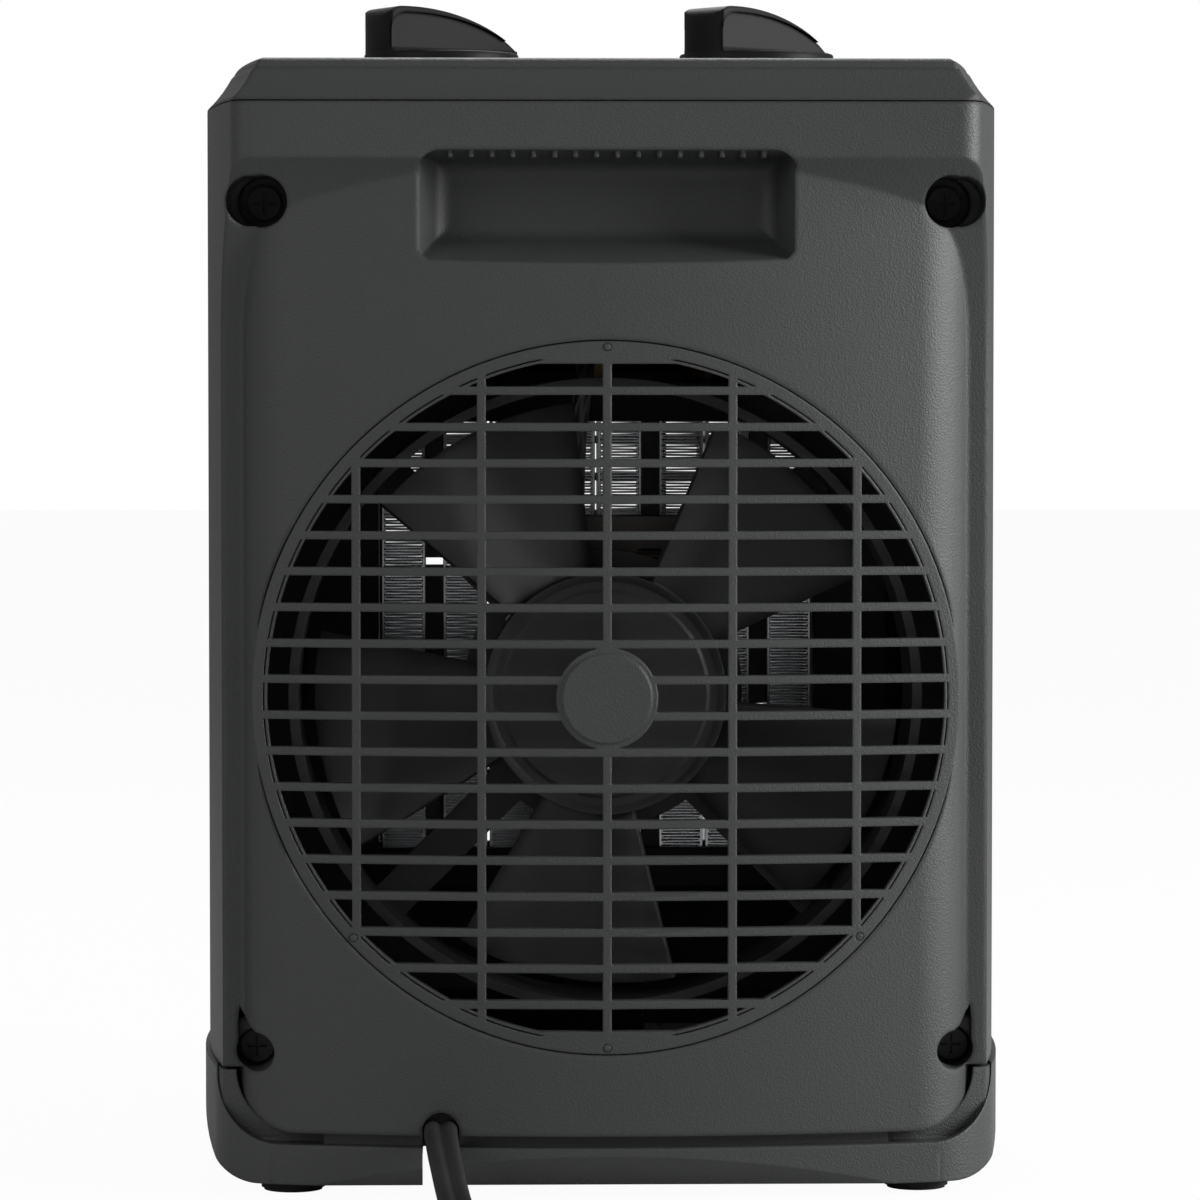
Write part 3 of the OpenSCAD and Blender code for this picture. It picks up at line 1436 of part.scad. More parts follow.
// Terminal block on the base's floor
terminal_x = 36;
terminal_y = 22;
terminal_z = 13;
module terminal_block() {
  color([0.92, 0.92, 0.9]) difference() {
    block([terminal_x - 9, terminal_y - 5, terminal_z + 0.05],
        [terminal_x + 9, terminal_y + 5, terminal_z + 10]);
    for (s = [-1, 1]) {
      translate([terminal_x + s * 4.5, terminal_y, terminal_z + 4]) cylinder(r = 2, h = 10);
      rod_y(terminal_x + s * 4.5, terminal_z + 4, 1.6, terminal_y - 6, terminal_y + 6);
    }
  }
}

// Insulated leads: from the terminal block up to the controls, and down to the element and motor
lead_d = 2.4;
lead_routes = [
  [[31.5, 15.5, 17], [31, 8, 17.5], [40, 2, 24], [60, -4, 40], [76, -8, 70], [80, -10, 120], [78, -8, 170],
  [62, -4, 212], [48, -1, 219], [45.5, 0, 221.5]],
  [[40.5, 15.5, 17], [42, 9, 18], [52, 4, 26], [70, 2, 42], [81, 0, 72], [83, 0, 120], [80, 0, 172],
  [50, 8, 204], [0, 10, 207], [-20, 5, 214], [-26.5, 0, 221.5]],
  [[27, 0, 221.5], [22, -2, 216], [12, -10, 206], [2, -24, 198], [0, -32, 193], [0, -34, 186.4]],
  [[-45.5, 0, 221.5], [-46, -4, 214], [-47, -16, 204], [-48.4, -30, 196], [-48.6, -34, 186.4]]
];
function quarter(a, b, c, d, t) =
  0.5 * (2 * b + (c - a) * t + (2 * a - 5 * b + 4 * c - d) * t * t + (3 * b - a - 3 * c + d) * t * t * t);
function smooth(p, k) = concat(
  [for (i = [0 : len(p) - 2], j = [0 : k - 1])
    quarter(p[max(i - 1, 0)], p[i], p[i + 1], p[min(i + 2, len(p) - 1)], j / k)],
  [p[len(p) - 1]]);
module internal_leads() {
  color([0.15, 0.15, 0.16])
    for (route = lead_routes) {
      p = smooth(route, 3);
      sweep(p, level(len(p), 0), oval(lead_d, lead_d, 6));
    }
}
// Motor lead in a braided sleeve: down behind the intake grille, beside the fan, to the coil
sleeve_d = 4.2;
sleeve_route = [[-26, 5.6, 224], [-20, 12, 212], [-6, 20, 202], [2, 26, 190], [4, 28.5, 178], [5.5, 28.8, 165],
        [6, 28.8, 152], [6, 28.8, 139.6]];
module sleeved_lead() {
  p = smooth(sleeve_route, 3);
  color([0.12, 0.12, 0.12]) sweep(p, level(len(p), 0), oval(sleeve_d, sleeve_d, 6));
}

// Cord: out of the notch, down to the table, along it and into the coil, by points at the cord's middle
cord_route = [
  [36, 69, 15.2], [36, 76.5, 15.2], [36, 81, 15], [36, 86, 14], [35.8, 91, 12], [35.4, 95.5, 9.5],
  [35, 100, 6.6], [34.5, 105, 4.1], [34, 110, 2.6], [33.2, 115, 2], [31.5, 123, 1.9], [28.5, 132, 1.9],
  [23.5, 142, 1.9], [17, 152, 1.9], [10, 162, 1.9], [3, 172, 2.05], [-3, 182, 2.5], [-7.5, 192, 3.15],
  [-10, 202, 3.55], [-11, 211, 3.68], [-11, 216.5, 3.7], [-11, 224, 3.7]
];
cord_rolls = [0, 0, 0, 0, 0, 0, 0, 0, 0, 0, 0, 0, 0, 0, 0, 5, 20, 45, 70, 86, 90, 90];
module cord() {
  color([0.07, 0.07, 0.07])
    sweep(cord_route, cord_rolls, oval(cord_w, cord_t, 8), [[0, 1, 0], [0, 1, 0]]);
}

// Coil: spirals in over the table, climbs a layer in half a turn, and spirals out again
coil_mid = [38.5, 224];
coil_r = 49.5;
coil_gap = 0.55;
coil_pitch = cord_t + coil_gap + 0.15;
coil_low = cord_w / 2 + 0.1;
coil_rise = cord_w + coil_gap;
coil_in = 945;
coil_climb = 180;
coil_dip = 1.2 * coil_pitch;
coil_rings = 24;
function coil_radius(a) =
  a < coil_in ? coil_r - coil_pitch * a / 360
  : a < coil_in + coil_climb ? coil_r - coil_pitch * coil_in / 360 - coil_dip * sin(a - coil_in)
  : coil_r - coil_pitch * (2 * coil_in + coil_climb - a) / 360;
function coil_height(a) =
  let (t = min(max((a - coil_in) / coil_climb, 0), 1)) coil_low + coil_rise * t * t * (3 - 2 * t);
function coil_point(a) =
  [coil_mid[0] - coil_radius(a) * cos(a), coil_mid[1] + coil_radius(a) * sin(a), coil_height(a)];
coil_total = 2 * coil_in + coil_climb;
coil_steps = coil_total * coil_rings / 360;
coil_line = [for (i = [0 : coil_steps]) coil_point(i * coil_total / coil_steps)];
function coil_heading(a) = unit(coil_point(min(a + 1, coil_total)) - coil_point(max(a - 1, 0)));
coil_shape = oval(cord_w, cord_t, 6);
coil_points = [for (i = [0 : coil_steps])
  ring(coil_line[i], coil_heading(i * coil_total / coil_steps), 90, coil_shape)];
// Least gap between the coil's turns, from the ring points of neighbouring turns at the same angle
coil_clear = min([for (i = [0 : coil_steps], k = [1 : 5])
  let (j = i + k * coil_rings)
  if (j <= coil_steps) min([for (a = coil_points[i], b = coil_points[j]) norm(a - b)])]);
echo(coil_least_gap = coil_clear);
module cord_coil() {
  n = coil_steps + 1;
  color([0.07, 0.07, 0.07])
    sweep(coil_line, level(n, 90), coil_shape, [[0, 1, 0], coil_heading(coil_total)]);
}

// Tail: from the coil's upper layer over the incoming cord to the plug
tail_start = coil_point(coil_total);
plug_mid_z = plug_h / 2;
plug_front_x = -38;
plug_y = tail_start[1];
tail_route = concat([tail_start, tail_start + [-cord_w, 0, 0]], [
  [22, plug_y, 11.2], [12, plug_y, 10], [4, plug_y, 8.6], [-4, plug_y, 7.5], [-12, plug_y, 6.9],
  [-20, plug_y, 6.6], [-29, plug_y, plug_mid_z], [plug_front_x, plug_y, plug_mid_z]]);
tail_rolls = [90, 90, 80, 60, 35, 15, 5, 0, 0, 0];
module cord_tail() {
  color([0.07, 0.07, 0.07])
    sweep(tail_route, tail_rolls, oval(cord_w, cord_t, 8), [coil_heading(coil_total), [-1, 0, 0]]);
}

// Two-pin plug lying flat: tapered neck, body with grip steps
module plug() {
  neck = 12;
  color([0.08, 0.08, 0.08]) translate([plug_front_x, plug_y, 0]) {
    translate([0, 0, plug_mid_z]) rotate([0, -90, 0]) cylinder(r1 = 4.2, r2 = 6, h = neck);
    along_z(0, plug_h) translate([-neck - plug_l / 2 + 1, 0]) round_rect(plug_l - 2, plug_w, 5);
    along_z(2, plug_h - 2) translate([-neck - plug_l / 2, 0]) square([plug_l, plug_w - 8], center = true);
  }
}
blade_l = 16;
module plug_blades() {
  x = plug_front_x - 12 - plug_l;
  color([0.85, 0.75, 0.45])
    for (s = [-1, 1])
      translate([x - blade_l, plug_y + s * 6.35 - 0.75, plug_mid_z - 3.2]) cube([blade_l, 1.5, 6.4]);
}

// Wire tie round the coil's turns
module cord_tie() {
  a = 90;
  out = coil_r + cord_t / 2 + 0.5;
  in = coil_radius(coil_in) - cord_t / 2 - 0.5;
  color([0.1, 0.1, 0.1]) translate([coil_mid[0], coil_mid[1], 0]) rotate([0, 0, a])
    difference() {
      block([in - 1, -3, 0], [out + 1, 3, coil_low + coil_rise + cord_w / 2 + 1.4]);
      block([in, -4, -1], [out, 4, coil_low + coil_rise + cord_w / 2 + 0.5]);
    }
}

base();
rubber_feet();
front_shell();
rear_shell();
top_cover();
rear_grille();
grille_pins();
front_grille();
case_screws();
base_screws();
thermostat_knob();
thermostat_shaft();
thermostat_body();
mode_knob();
mode_shaft();
rotary_switch();
control_screws();
fan_blade();
motor_shaft();
rotor();
shaft_bushes();
motor_stator();
motor_coil();
rear_bracket();
front_bracket();
motor_screws();
fan_duct();
duct_screws();
element_frame();
element_fins();
element_stones();
element_terminals();
element_screws();
thermal_cutout();
tip_plunger();
tip_spring();
tip_bracket();
tip_switch();
terminal_block();
internal_leads();
sleeved_lead();
strain_relief();
cord();
cord_coil();
cord_tail();
plug();
plug_blades();
cord_tie();
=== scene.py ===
"""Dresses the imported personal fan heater: finishes, cord, folded fins, fan and leads, on a plain stage."""

import math

import bpy
import numpy as np
from bpy.props import FloatProperty, FloatVectorProperty, IntProperty, PointerProperty
from bpy.types import Operator, Panel, PropertyGroup
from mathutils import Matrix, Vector


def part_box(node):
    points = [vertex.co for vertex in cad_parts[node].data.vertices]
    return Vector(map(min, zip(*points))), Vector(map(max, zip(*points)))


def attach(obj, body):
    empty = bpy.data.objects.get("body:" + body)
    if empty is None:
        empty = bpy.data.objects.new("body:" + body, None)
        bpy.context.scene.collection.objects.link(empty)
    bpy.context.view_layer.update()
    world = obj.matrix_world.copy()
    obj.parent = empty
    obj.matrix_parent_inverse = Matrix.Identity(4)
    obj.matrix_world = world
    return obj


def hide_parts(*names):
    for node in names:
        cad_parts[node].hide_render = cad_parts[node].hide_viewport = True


bl_info = {
    "name": "Fan heater dressing",
    "version": (1, 0, 0),
    "blender": (4, 5, 0),
    "location": "3D View > Sidebar > Heater",
    "description": "Finishes and modelled pieces for the packed fan heater",
    "category": "Object",
}

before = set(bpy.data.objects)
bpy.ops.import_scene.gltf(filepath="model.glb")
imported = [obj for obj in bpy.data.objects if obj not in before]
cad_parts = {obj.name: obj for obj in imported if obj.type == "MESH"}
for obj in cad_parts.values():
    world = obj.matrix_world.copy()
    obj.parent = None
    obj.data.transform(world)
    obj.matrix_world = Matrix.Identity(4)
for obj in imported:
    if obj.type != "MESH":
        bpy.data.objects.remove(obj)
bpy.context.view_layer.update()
MM = 0.001

# Route of the cord from the notch to the coil, at the cord's middle, in millimetres
CORD_ROUTE = [
    (36, 69, 15.2), (36, 76.5, 15.2), (35.9, 81, 15), (35.6, 86, 14), (35.1, 91, 12), (34.4, 95.5, 9.5),
    (33.6, 100, 6.6), (32.7, 105, 4.1), (31.7, 110, 2.6), (30.5, 115, 2), (28.4, 123, 1.9), (25.7, 132, 1.9),
    (21.8, 142, 1.9), (16.7, 152, 1.9), (10, 162, 1.9), (3, 172, 2.05), (-3, 182, 2.5), (-7.5, 192, 3.15),
    (-10, 202, 3.55), (-11, 211, 3.68), (-11, 216.5, 3.7), (-11, 224, 3.7),
]
# How far the flat cord is rolled on its side at each point, in degrees
CORD_ROLLS = [0] * 15 + [5, 20, 45, 70, 86, 90, 90]

# X and Z of the tail's middle on its way to the plug, in millimetres. Its Y stays that of the coil's end
TAIL_ROUTE = [(22, 11.2), (12, 10), (4, 8.6), (-4, 7.5), (-12, 6.9), (-20, 6.6), (-29, 6.5), (-38, 6.5)]
TAIL_ROLLS = [90, 90, 80, 60, 35, 15, 5, 0, 0, 0]

# The coil, in millimetres and degrees: in over the table, up a layer in half a turn, and out again
CORD_WIDE = 7.2
CORE = 3.7
LEAST_GAP = 0.55
COIL_SLACK = 0.15
TABLE_GAP = 0.1
COIL_MID = (38.5, 224)
COIL_R = 49.5
COIL_PITCH = CORE + LEAST_GAP + COIL_SLACK
COIL_LOW = CORD_WIDE / 2 + TABLE_GAP
COIL_RISE = CORD_WIDE + LEAST_GAP
COIL_IN = 945
COIL_CLIMB = 180
COIL_TOTAL = 2 * COIL_IN + COIL_CLIMB
CLIMB_DIP = 1.2  # pitches that the climb cuts inwards
COIL_POINTS = 48  # points of the route in a turn


# Settings


class CaseSettings(PropertyGroup):
    """Finish of the moulded case, base, cover and grilles"""

    colour: FloatVectorProperty(
        name="Case colour", description="Colour of the moulded case", subtype="COLOR",
        default=(0.033, 0.0348, 0.0342), min=0, max=1)
    roughness: FloatProperty(
        name="Case roughness", description="Roughness of the moulded case", subtype="FACTOR",
        default=0.5, min=0, max=1)
    grain: FloatProperty(
        name="Grain size", description="Size of the moulded grain", subtype="DISTANCE", unit="LENGTH",
        default=0.0003, min=0.0001, max=0.002)
    edge: FloatProperty(
        name="Edge softness", description="Radius that moulded edges catch the light over",
        subtype="DISTANCE", unit="LENGTH", default=0.0016, min=0, max=0.003)


class KnobSettings(PropertyGroup):
    """Shape and finish of the two knobs"""

    colour: FloatVectorProperty(
        name="Knob colour", description="Colour of the knobs", subtype="COLOR",
        default=(0.008, 0.0082, 0.0082), min=0, max=1)
    roughness: FloatProperty(
        name="Knob roughness", description="Roughness of the knobs", subtype="FACTOR",
        default=0.5, min=0, max=1)
    grip: FloatProperty(
        name="Grip thickness", description="Thickness of the grip", subtype="DISTANCE", unit="LENGTH",
        default=0.0134, min=0.008, max=0.016)
    foot: FloatProperty(
        name="Foot height", description="Height of the round foot", subtype="DISTANCE", unit="LENGTH",
        default=0.0044, min=0.003, max=0.006)
    corner: FloatProperty(
        name="Corner radius", description="Radius of the grip's upper near corner", subtype="DISTANCE",
        unit="LENGTH", default=0.0038, min=0.002, max=0.006)
    panel: FloatProperty(
        name="Panel depth", description="Depth of the grip's side panels", subtype="DISTANCE", unit="LENGTH",
        default=0.0009, min=0.0003, max=0.002)
    thermostat_rest: FloatProperty(
        name="Thermostat at rest", description="Turn of the thermostat knob at rest", subtype="ANGLE",
        unit="ROTATION", default=math.radians(28), min=0, max=math.tau)
    mode_rest: FloatProperty(
        name="Mode at rest", description="Turn of the mode knob at rest", subtype="ANGLE", unit="ROTATION",
        default=math.radians(39), min=0, max=math.tau)


class CordSettings(PropertyGroup):
    """Sizes and finish of the two-core cord"""

    width: FloatProperty(
        name="Cord width", description="Width of the flat cord", subtype="DISTANCE", unit="LENGTH",
        default=0.0072, min=0.004, max=0.012)
    thickness: FloatProperty(
        name="Cord thickness", description="Thickness of each core with its cover", subtype="DISTANCE",
        unit="LENGTH", default=0.0037, min=0.002, max=0.006)
    colour: FloatVectorProperty(
        name="Cord colour", description="Colour of the cord and plug", subtype="COLOR",
        default=(0.012, 0.012, 0.0125), min=0, max=1)


class FinSettings(PropertyGroup):
    """Sizes of the element's folded fins"""

    folds: IntProperty(
        name="Folds", description="Folds in each fin column", default=76, min=20, max=120)
    column: FloatProperty(
        name="Column width", description="Width of a fin column", subtype="DISTANCE", unit="LENGTH",
        default=0.0103, min=0.008, max=0.011)
    stone: FloatProperty(
        name="Stone thickness", description="Space for the stones between a pair of columns",
        subtype="DISTANCE", unit="LENGTH", default=0.0041, min=0.003, max=0.005)
    wave: FloatProperty(
        name="Wave", description="Height of the wave along each fold", subtype="DISTANCE", unit="LENGTH",
        default=0.00024, min=0, max=0.0006)
    thickness: FloatProperty(
        name="Sheet thickness", description="Thickness of the fin sheet", subtype="DISTANCE",
        unit="LENGTH", default=0.00022, min=0.0001, max=0.0006)


class FanSettings(PropertyGroup):
    """Sizes of the fan's hub and blades"""

    hub: FloatProperty(
        name="Hub radius", description="Radius of the fan's hub", subtype="DISTANCE", unit="LENGTH",
        default=0.0265, min=0.02, max=0.03)
    hub_depth: FloatProperty(
        name="Hub depth", description="Depth of the fan's hub", subtype="DISTANCE", unit="LENGTH",
        default=0.016, min=0.01, max=0.018)
    span: FloatProperty(
        name="Blade angle", description="Angle that a blade covers, seen along the shaft", subtype="ANGLE",
        unit="ROTATION", default=math.radians(47), min=0.5, max=1.1)
    pitch: FloatProperty(
        name="Blade pitch", description="Pitch of a blade at its middle", subtype="ANGLE", unit="ROTATION",
        default=math.radians(24), min=0.2, max=0.5)
    rest: FloatProperty(
        name="Rest angle", description="Turn of the fan at rest", subtype="ANGLE", unit="ROTATION",
        default=math.radians(62), min=0, max=math.tau)
    twist: FloatProperty(
        name="Blade twist", description="Twist of a blade from root to tip", subtype="ANGLE",
        unit="ROTATION", default=math.radians(12), min=0, max=math.radians(30))
    camber: FloatProperty(
        name="Blade camber", description="How far the middle of the chord bows", subtype="DISTANCE",
        unit="LENGTH", default=0.0018, min=0, max=0.004)
    sheet: FloatProperty(
        name="Blade thickness", description="Thickness of a blade", subtype="DISTANCE", unit="LENGTH",
        default=0.0016, min=0.001, max=0.003)


class StageSettings(PropertyGroup):
    """Camera and lamps"""

    lens: FloatProperty(
        name="Lens", description="Focal length", subtype="DISTANCE_CAMERA", unit="CAMERA",
        default=157.7, min=50, max=300)
    camera_place: FloatVectorProperty(
        name="Camera place", description="Where the camera stands", subtype="TRANSLATION", unit="LENGTH",
        default=(0.0293, 1.205, 0.1774))
    camera_turn: FloatVectorProperty(
        name="Camera turn", description="Turn of the camera", subtype="EULER", unit="ROTATION",
        default=(math.radians(90 - 2.396), 0, math.radians(180 - 1.404)))
    key_power: FloatProperty(
        name="Main lamp", description="Power of the main lamp, watts", default=14, min=0)
    fill_power: FloatProperty(
        name="Fill lamp", description="Power of the fill lamp, watts", default=7.2, min=0)
    front_power: FloatProperty(
        name="Outlet lamp", description="Power of the lamp in front of the outlet, watts", default=7, min=0)


# Materials


class Wire:
    """A value in a material, so that shader maths reads as plain expressions"""

    def __init__(self, finish, socket):
        self.finish = finish
        self.socket = socket

    def _math(self, operation, a, b):
        return self.finish.node("ShaderNodeMath", {"operation": operation}, {0: a, 1: b})

    def __add__(self, other):
        return self._math("ADD", self, other)

    def __sub__(self, other):
        return self._math("SUBTRACT", self, other)

    def __mul__(self, other):
        return self._math("MULTIPLY", self, other)


class Finish:
    """One material: its Principled shader, its Object coordinates, and a way to add nodes"""

    def __init__(self, name, colour, roughness, metallic=0.0, specular=0.5):
        self.material = bpy.data.materials.new(name)
        self.material.use_nodes = True
        self.material.diffuse_color = (*colour[:3], 1)
        self.tree = self.material.node_tree
        self.shader = self.tree.nodes["Principled BSDF"]
        self.shader.inputs["Base Color"].default_value = (*colour[:3], 1)
        self.shader.inputs["Roughness"].default_value = roughness
        self.shader.inputs["Metallic"].default_value = metallic
        self.shader.inputs["Specular IOR Level"].default_value = specular
        self.place = self.node("ShaderNodeTexCoord", out="Object")

    def node(self, kind, settings=None, sockets=None, out=0):
        """Adds a node. Settings come first, then the values or links of its sockets"""
        made = self.tree.nodes.new(kind)
        for key, value in (settings or {}).items():
            setattr(made, key, value)
        for key, value in (sockets or {}).items():
            if isinstance(value, Wire):
                self.tree.links.new(value.socket, made.inputs[key])
            else:
                made.inputs[key].default_value = value
        return Wire(self, made.outputs[out])

    def noise(self, size, detail=2.0, roughness=0.5, place=None):
        """Noise whose features are about size metres across"""
        return self.node(
            "ShaderNodeTexNoise", {"noise_dimensions": "3D"},
            {"Vector": place or self.place, "Scale": 1 / size, "Detail": detail, "Roughness": roughness})

    def shift(self, value, low, high):
        """Carries a 0 to 1 value to the range low to high"""
        return self.node(
            "ShaderNodeMapRange", {"clamp": True}, {"Value": value, "To Min": low, "To Max": high})

    def mix(self, factor, a, b):
        """Mixes two colours by a factor. The colour sockets A, B and Result are found by their numbers"""
        return self.node(
            "ShaderNodeMix", {"data_type": "RGBA"},
            {"Factor": factor, 6: (*a[:3], 1), 7: (*b[:3], 1)}, out=2)

    def soft_edge(self, radius):
        """A normal that rounds the piece's edges over a radius"""
        return self.node("ShaderNodeBevel", {"samples": 4}, {"Radius": radius})

    def bump(self, height, distance, normal=None):
        """Relief of a depth in metres, laid over a normal where one is given"""
        sockets = {"Height": height, "Distance": distance, "Strength": 1.0}
        if normal is not None:
            sockets["Normal"] = normal
        return self.node("ShaderNodeBump", {}, sockets)

    def feed(self, socket, wire):
        """Links a value to an input of the Principled shader"""
        self.tree.links.new(wire.socket, self.shader.inputs[socket])


def toned(colour, by):
    """A colour made darker or lighter by a factor"""
    return tuple(c * by for c in colour[:3])


def moulded(name, colour, roughness, grain, depth, edge=0.0, cloud=0.12, specular=0.4):
    """Injection-moulded plastic: a fine spark-eroded grain, faint clouding and soft edges"""
    f = Finish(name, colour, roughness, specular=specular)
    clouds = f.noise(0.05, 3)
    fine = f.noise(grain, 2, 0.6)
    cell_size = grain * 1.6
    cells = f.node("ShaderNodeTexVoronoi", {"feature": "F1"}, {"Vector": f.place, "Scale": 1 / cell_size})
    swing = cloud * 1.8
    f.feed("Base Color", f.mix(
        f.shift(clouds * 0.5 + fine * 0.5, 0.2, 0.8), toned(colour, 1 - swing), toned(colour, 1 + swing)))
    f.feed("Roughness", f.shift(fine * 0.6 + clouds * 0.4, roughness - 0.09, roughness + 0.09))
    normal = f.soft_edge(edge) if edge else None
    f.feed("Normal", f.bump(fine * 0.6 + cells * 0.5, depth, normal))
    return f.material


def metal(name, colour, roughness, brush=None, depth=2e-6):
    """Bare or plated metal with faint handling marks, brushed along one axis where brush gives its stretch"""
    f = Finish(name, colour, roughness, metallic=1.0)
    place = f.place
    if brush:
        place = f.node("ShaderNodeMapping", {}, {"Vector": f.place, "Scale": brush})
    marks = f.noise(0.0012, 4, 0.6, place)
    clouds = f.noise(0.012, 2)
    smoothest, roughest = max(roughness - 0.12, 0.05), roughness + 0.14
    f.feed("Roughness", f.shift(marks * 0.6 + clouds * 0.4, smoothest, roughest))
    f.feed("Base Color", f.mix(f.shift(clouds, 0, 1), toned(colour, 0.86), colour))
    f.feed("Normal", f.bump(marks, depth))
    return f.material


def vinyl(name, colour, edge=0.0):
    """Extruded or moulded soft vinyl: smooth, with a faint bloom"""
    f = Finish(name, colour, 0.42)
    bloom = f.noise(0.009, 3)
    fine = f.noise(0.0009, 2)
    f.feed("Base Color", f.mix(f.shift(bloom, 0, 1), colour, toned(colour, 1.5)))
    f.feed("Roughness", f.shift(bloom * 0.7 + fine * 0.3, 0.34, 0.54))
    normal = f.soft_edge(edge) if edge else None
    f.feed("Normal", f.bump(fine, 1e-5, normal))
    return f.material


def braid(name, colour):
    """Braided sleeve: two crossing bands of yarn that follow the piece's own UV map"""
    f = Finish(name, colour, 0.7)
    uv = f.node("ShaderNodeUVMap", {"uv_map": "along"})
    around = f.node("ShaderNodeSeparateXYZ", {}, {0: uv})
    along = Wire(f, around.socket.node.outputs[1])
    strands = 5
    one = f.node("ShaderNodeMath", {"operation": "SINE"}, {0: (around * strands + along) * math.tau})
    two = f.node("ShaderNodeMath", {"operation": "SINE"}, {0: (around * strands - along) * math.tau})
    yarn = f.node("ShaderNodeMath", {"operation": "MAXIMUM"}, {0: one, 1: two})
    # The colour follows the weave's relief: darkest in the gaps between the bands, painted shade, and
    # lightest on their crests, painted highlight
    f.feed("Base Color", f.mix(f.shift(yarn * 0.5 + 0.5, 0, 1), toned(colour, 0.5), toned(colour, 2.2)))
    f.feed("Normal", f.bump(yarn, 2.5e-4))
    return f.material


def stone(name, colour):
    """Fired ceramic: pale, with pits and specks"""
    f = Finish(name, colour, 0.72)
    pits = f.noise(0.0008, 3, 0.7)
    specks = f.noise(0.004, 2)
    f.feed("Base Color", f.mix(f.shift(specks, 0, 1), toned(colour, 0.82), colour))
    f.feed("Normal", f.bump(pits, 6e-5))
    return f.material


def winding(name, colour):
    """Enamelled wire wound turn by turn, with painted shade in the grooves between the turns"""
    f = Finish(name, colour, 0.34, metallic=0.35)
    turns = f.node(
        "ShaderNodeTexWave", {"wave_type": "BANDS", "bands_direction": "Z"},
        {"Vector": f.place, "Scale": 320.0, "Distortion": 0.6, "Detail": 1.0, "Detail Scale": 2.0})
    # The colour is halved between the turns, where the bump is low: painted shade in the grooves
    f.feed("Base Color", f.mix(turns, toned(colour, 0.5), colour))
    f.feed("Normal", f.bump(turns, 1.5e-4))
    return f.material


def laminated(name, colour):
    """Pressed steel laminations, edge on, with thin dark joints"""
    f = Finish(name, colour, 0.42, metallic=1.0)
    sheets = f.node(
        "ShaderNodeTexWave", {"wave_type": "BANDS", "bands_direction": "Y"},
        {"Vector": f.place, "Scale": 300.0, "Distortion": 0.2})
    rust = f.noise(0.006, 4)
    f.feed("Base Color", f.mix(f.shift(rust, 0, 1), toned(colour, 0.7), colour))
    f.feed("Normal", f.bump(sheets, 6e-5))
    return f.material


def dress(node, material):
    """Gives a CAD node one finish"""
    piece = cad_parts[node]
    for part in piece.material_slots:
        part.material = material
    return piece


# Modelling helpers


def clear_selection():
    """Leaves edit mode and deselects every object"""
    if bpy.context.object and bpy.context.object.mode != "OBJECT":
        bpy.ops.object.mode_set(mode="OBJECT")
    bpy.ops.object.select_all(action="DESELECT")


def take(piece):
    """Makes a piece the only one selected, and the active one"""
    clear_selection()
    piece.select_set(True)
    bpy.context.view_layer.objects.active = piece
    return piece


def settle(piece, name, material, smooth):
    """Names a finished piece, puts its place in its mesh, and gives it its finish, smoothing and slot"""
    take(piece)
    bpy.ops.object.transform_apply(location=True, rotation=True, scale=True)
    piece.name = name
    piece.data.name = name
    piece.data.materials.clear()
    piece.data.materials.append(material)
    if smooth:
        bpy.ops.object.shade_smooth_by_angle(angle=math.radians(smooth))
    return piece


def use(piece, kind, **settings):
    """Adds a modifier to a piece and applies it"""
    take(piece)
    added = piece.modifiers.new(kind, kind)
    for key, value in settings.items():
        setattr(added, key, value)
    bpy.ops.object.modifier_apply(modifier=added.name)


def pick(piece, kind, test):
    """Selects the faces or vertices of a piece that pass a test of place and normal, in edit mode"""
    take(piece)
    bpy.ops.object.mode_set(mode="EDIT")
    bpy.ops.mesh.select_all(action="DESELECT")
    bpy.ops.mesh.select_mode(type=kind)
    bpy.ops.object.mode_set(mode="OBJECT")
    mesh = piece.data
    if kind == "FACE":
        for face in mesh.polygons:
            face.select = test(face.center, face.normal)
    else:
        for vertex in mesh.vertices:
            vertex.select = test(vertex.co, vertex.normal)
    bpy.ops.object.mode_set(mode="EDIT")


def done():
    """Leaves edit mode"""
    bpy.ops.object.mode_set(mode="OBJECT")


def smooth_route(points, steps):
    """Carries a Catmull-Rom curve through points, with steps spans between neighbours"""
    p = [np.array(q, float) for q in points]
    line = []
    for i in range(len(p) - 1):
        a, b, c, d = p[max(i - 1, 0)], p[i], p[i + 1], p[min(i + 2, len(p) - 1)]
        for j in range(steps):
            t = j / steps
            line.append(0.5 * (2 * b + (c - a) * t + (2 * a - 5 * b + 4 * c - d) * t ** 2
                               + (3 * b - a - 3 * c + d) * t ** 3))
    return line + [p[-1]]


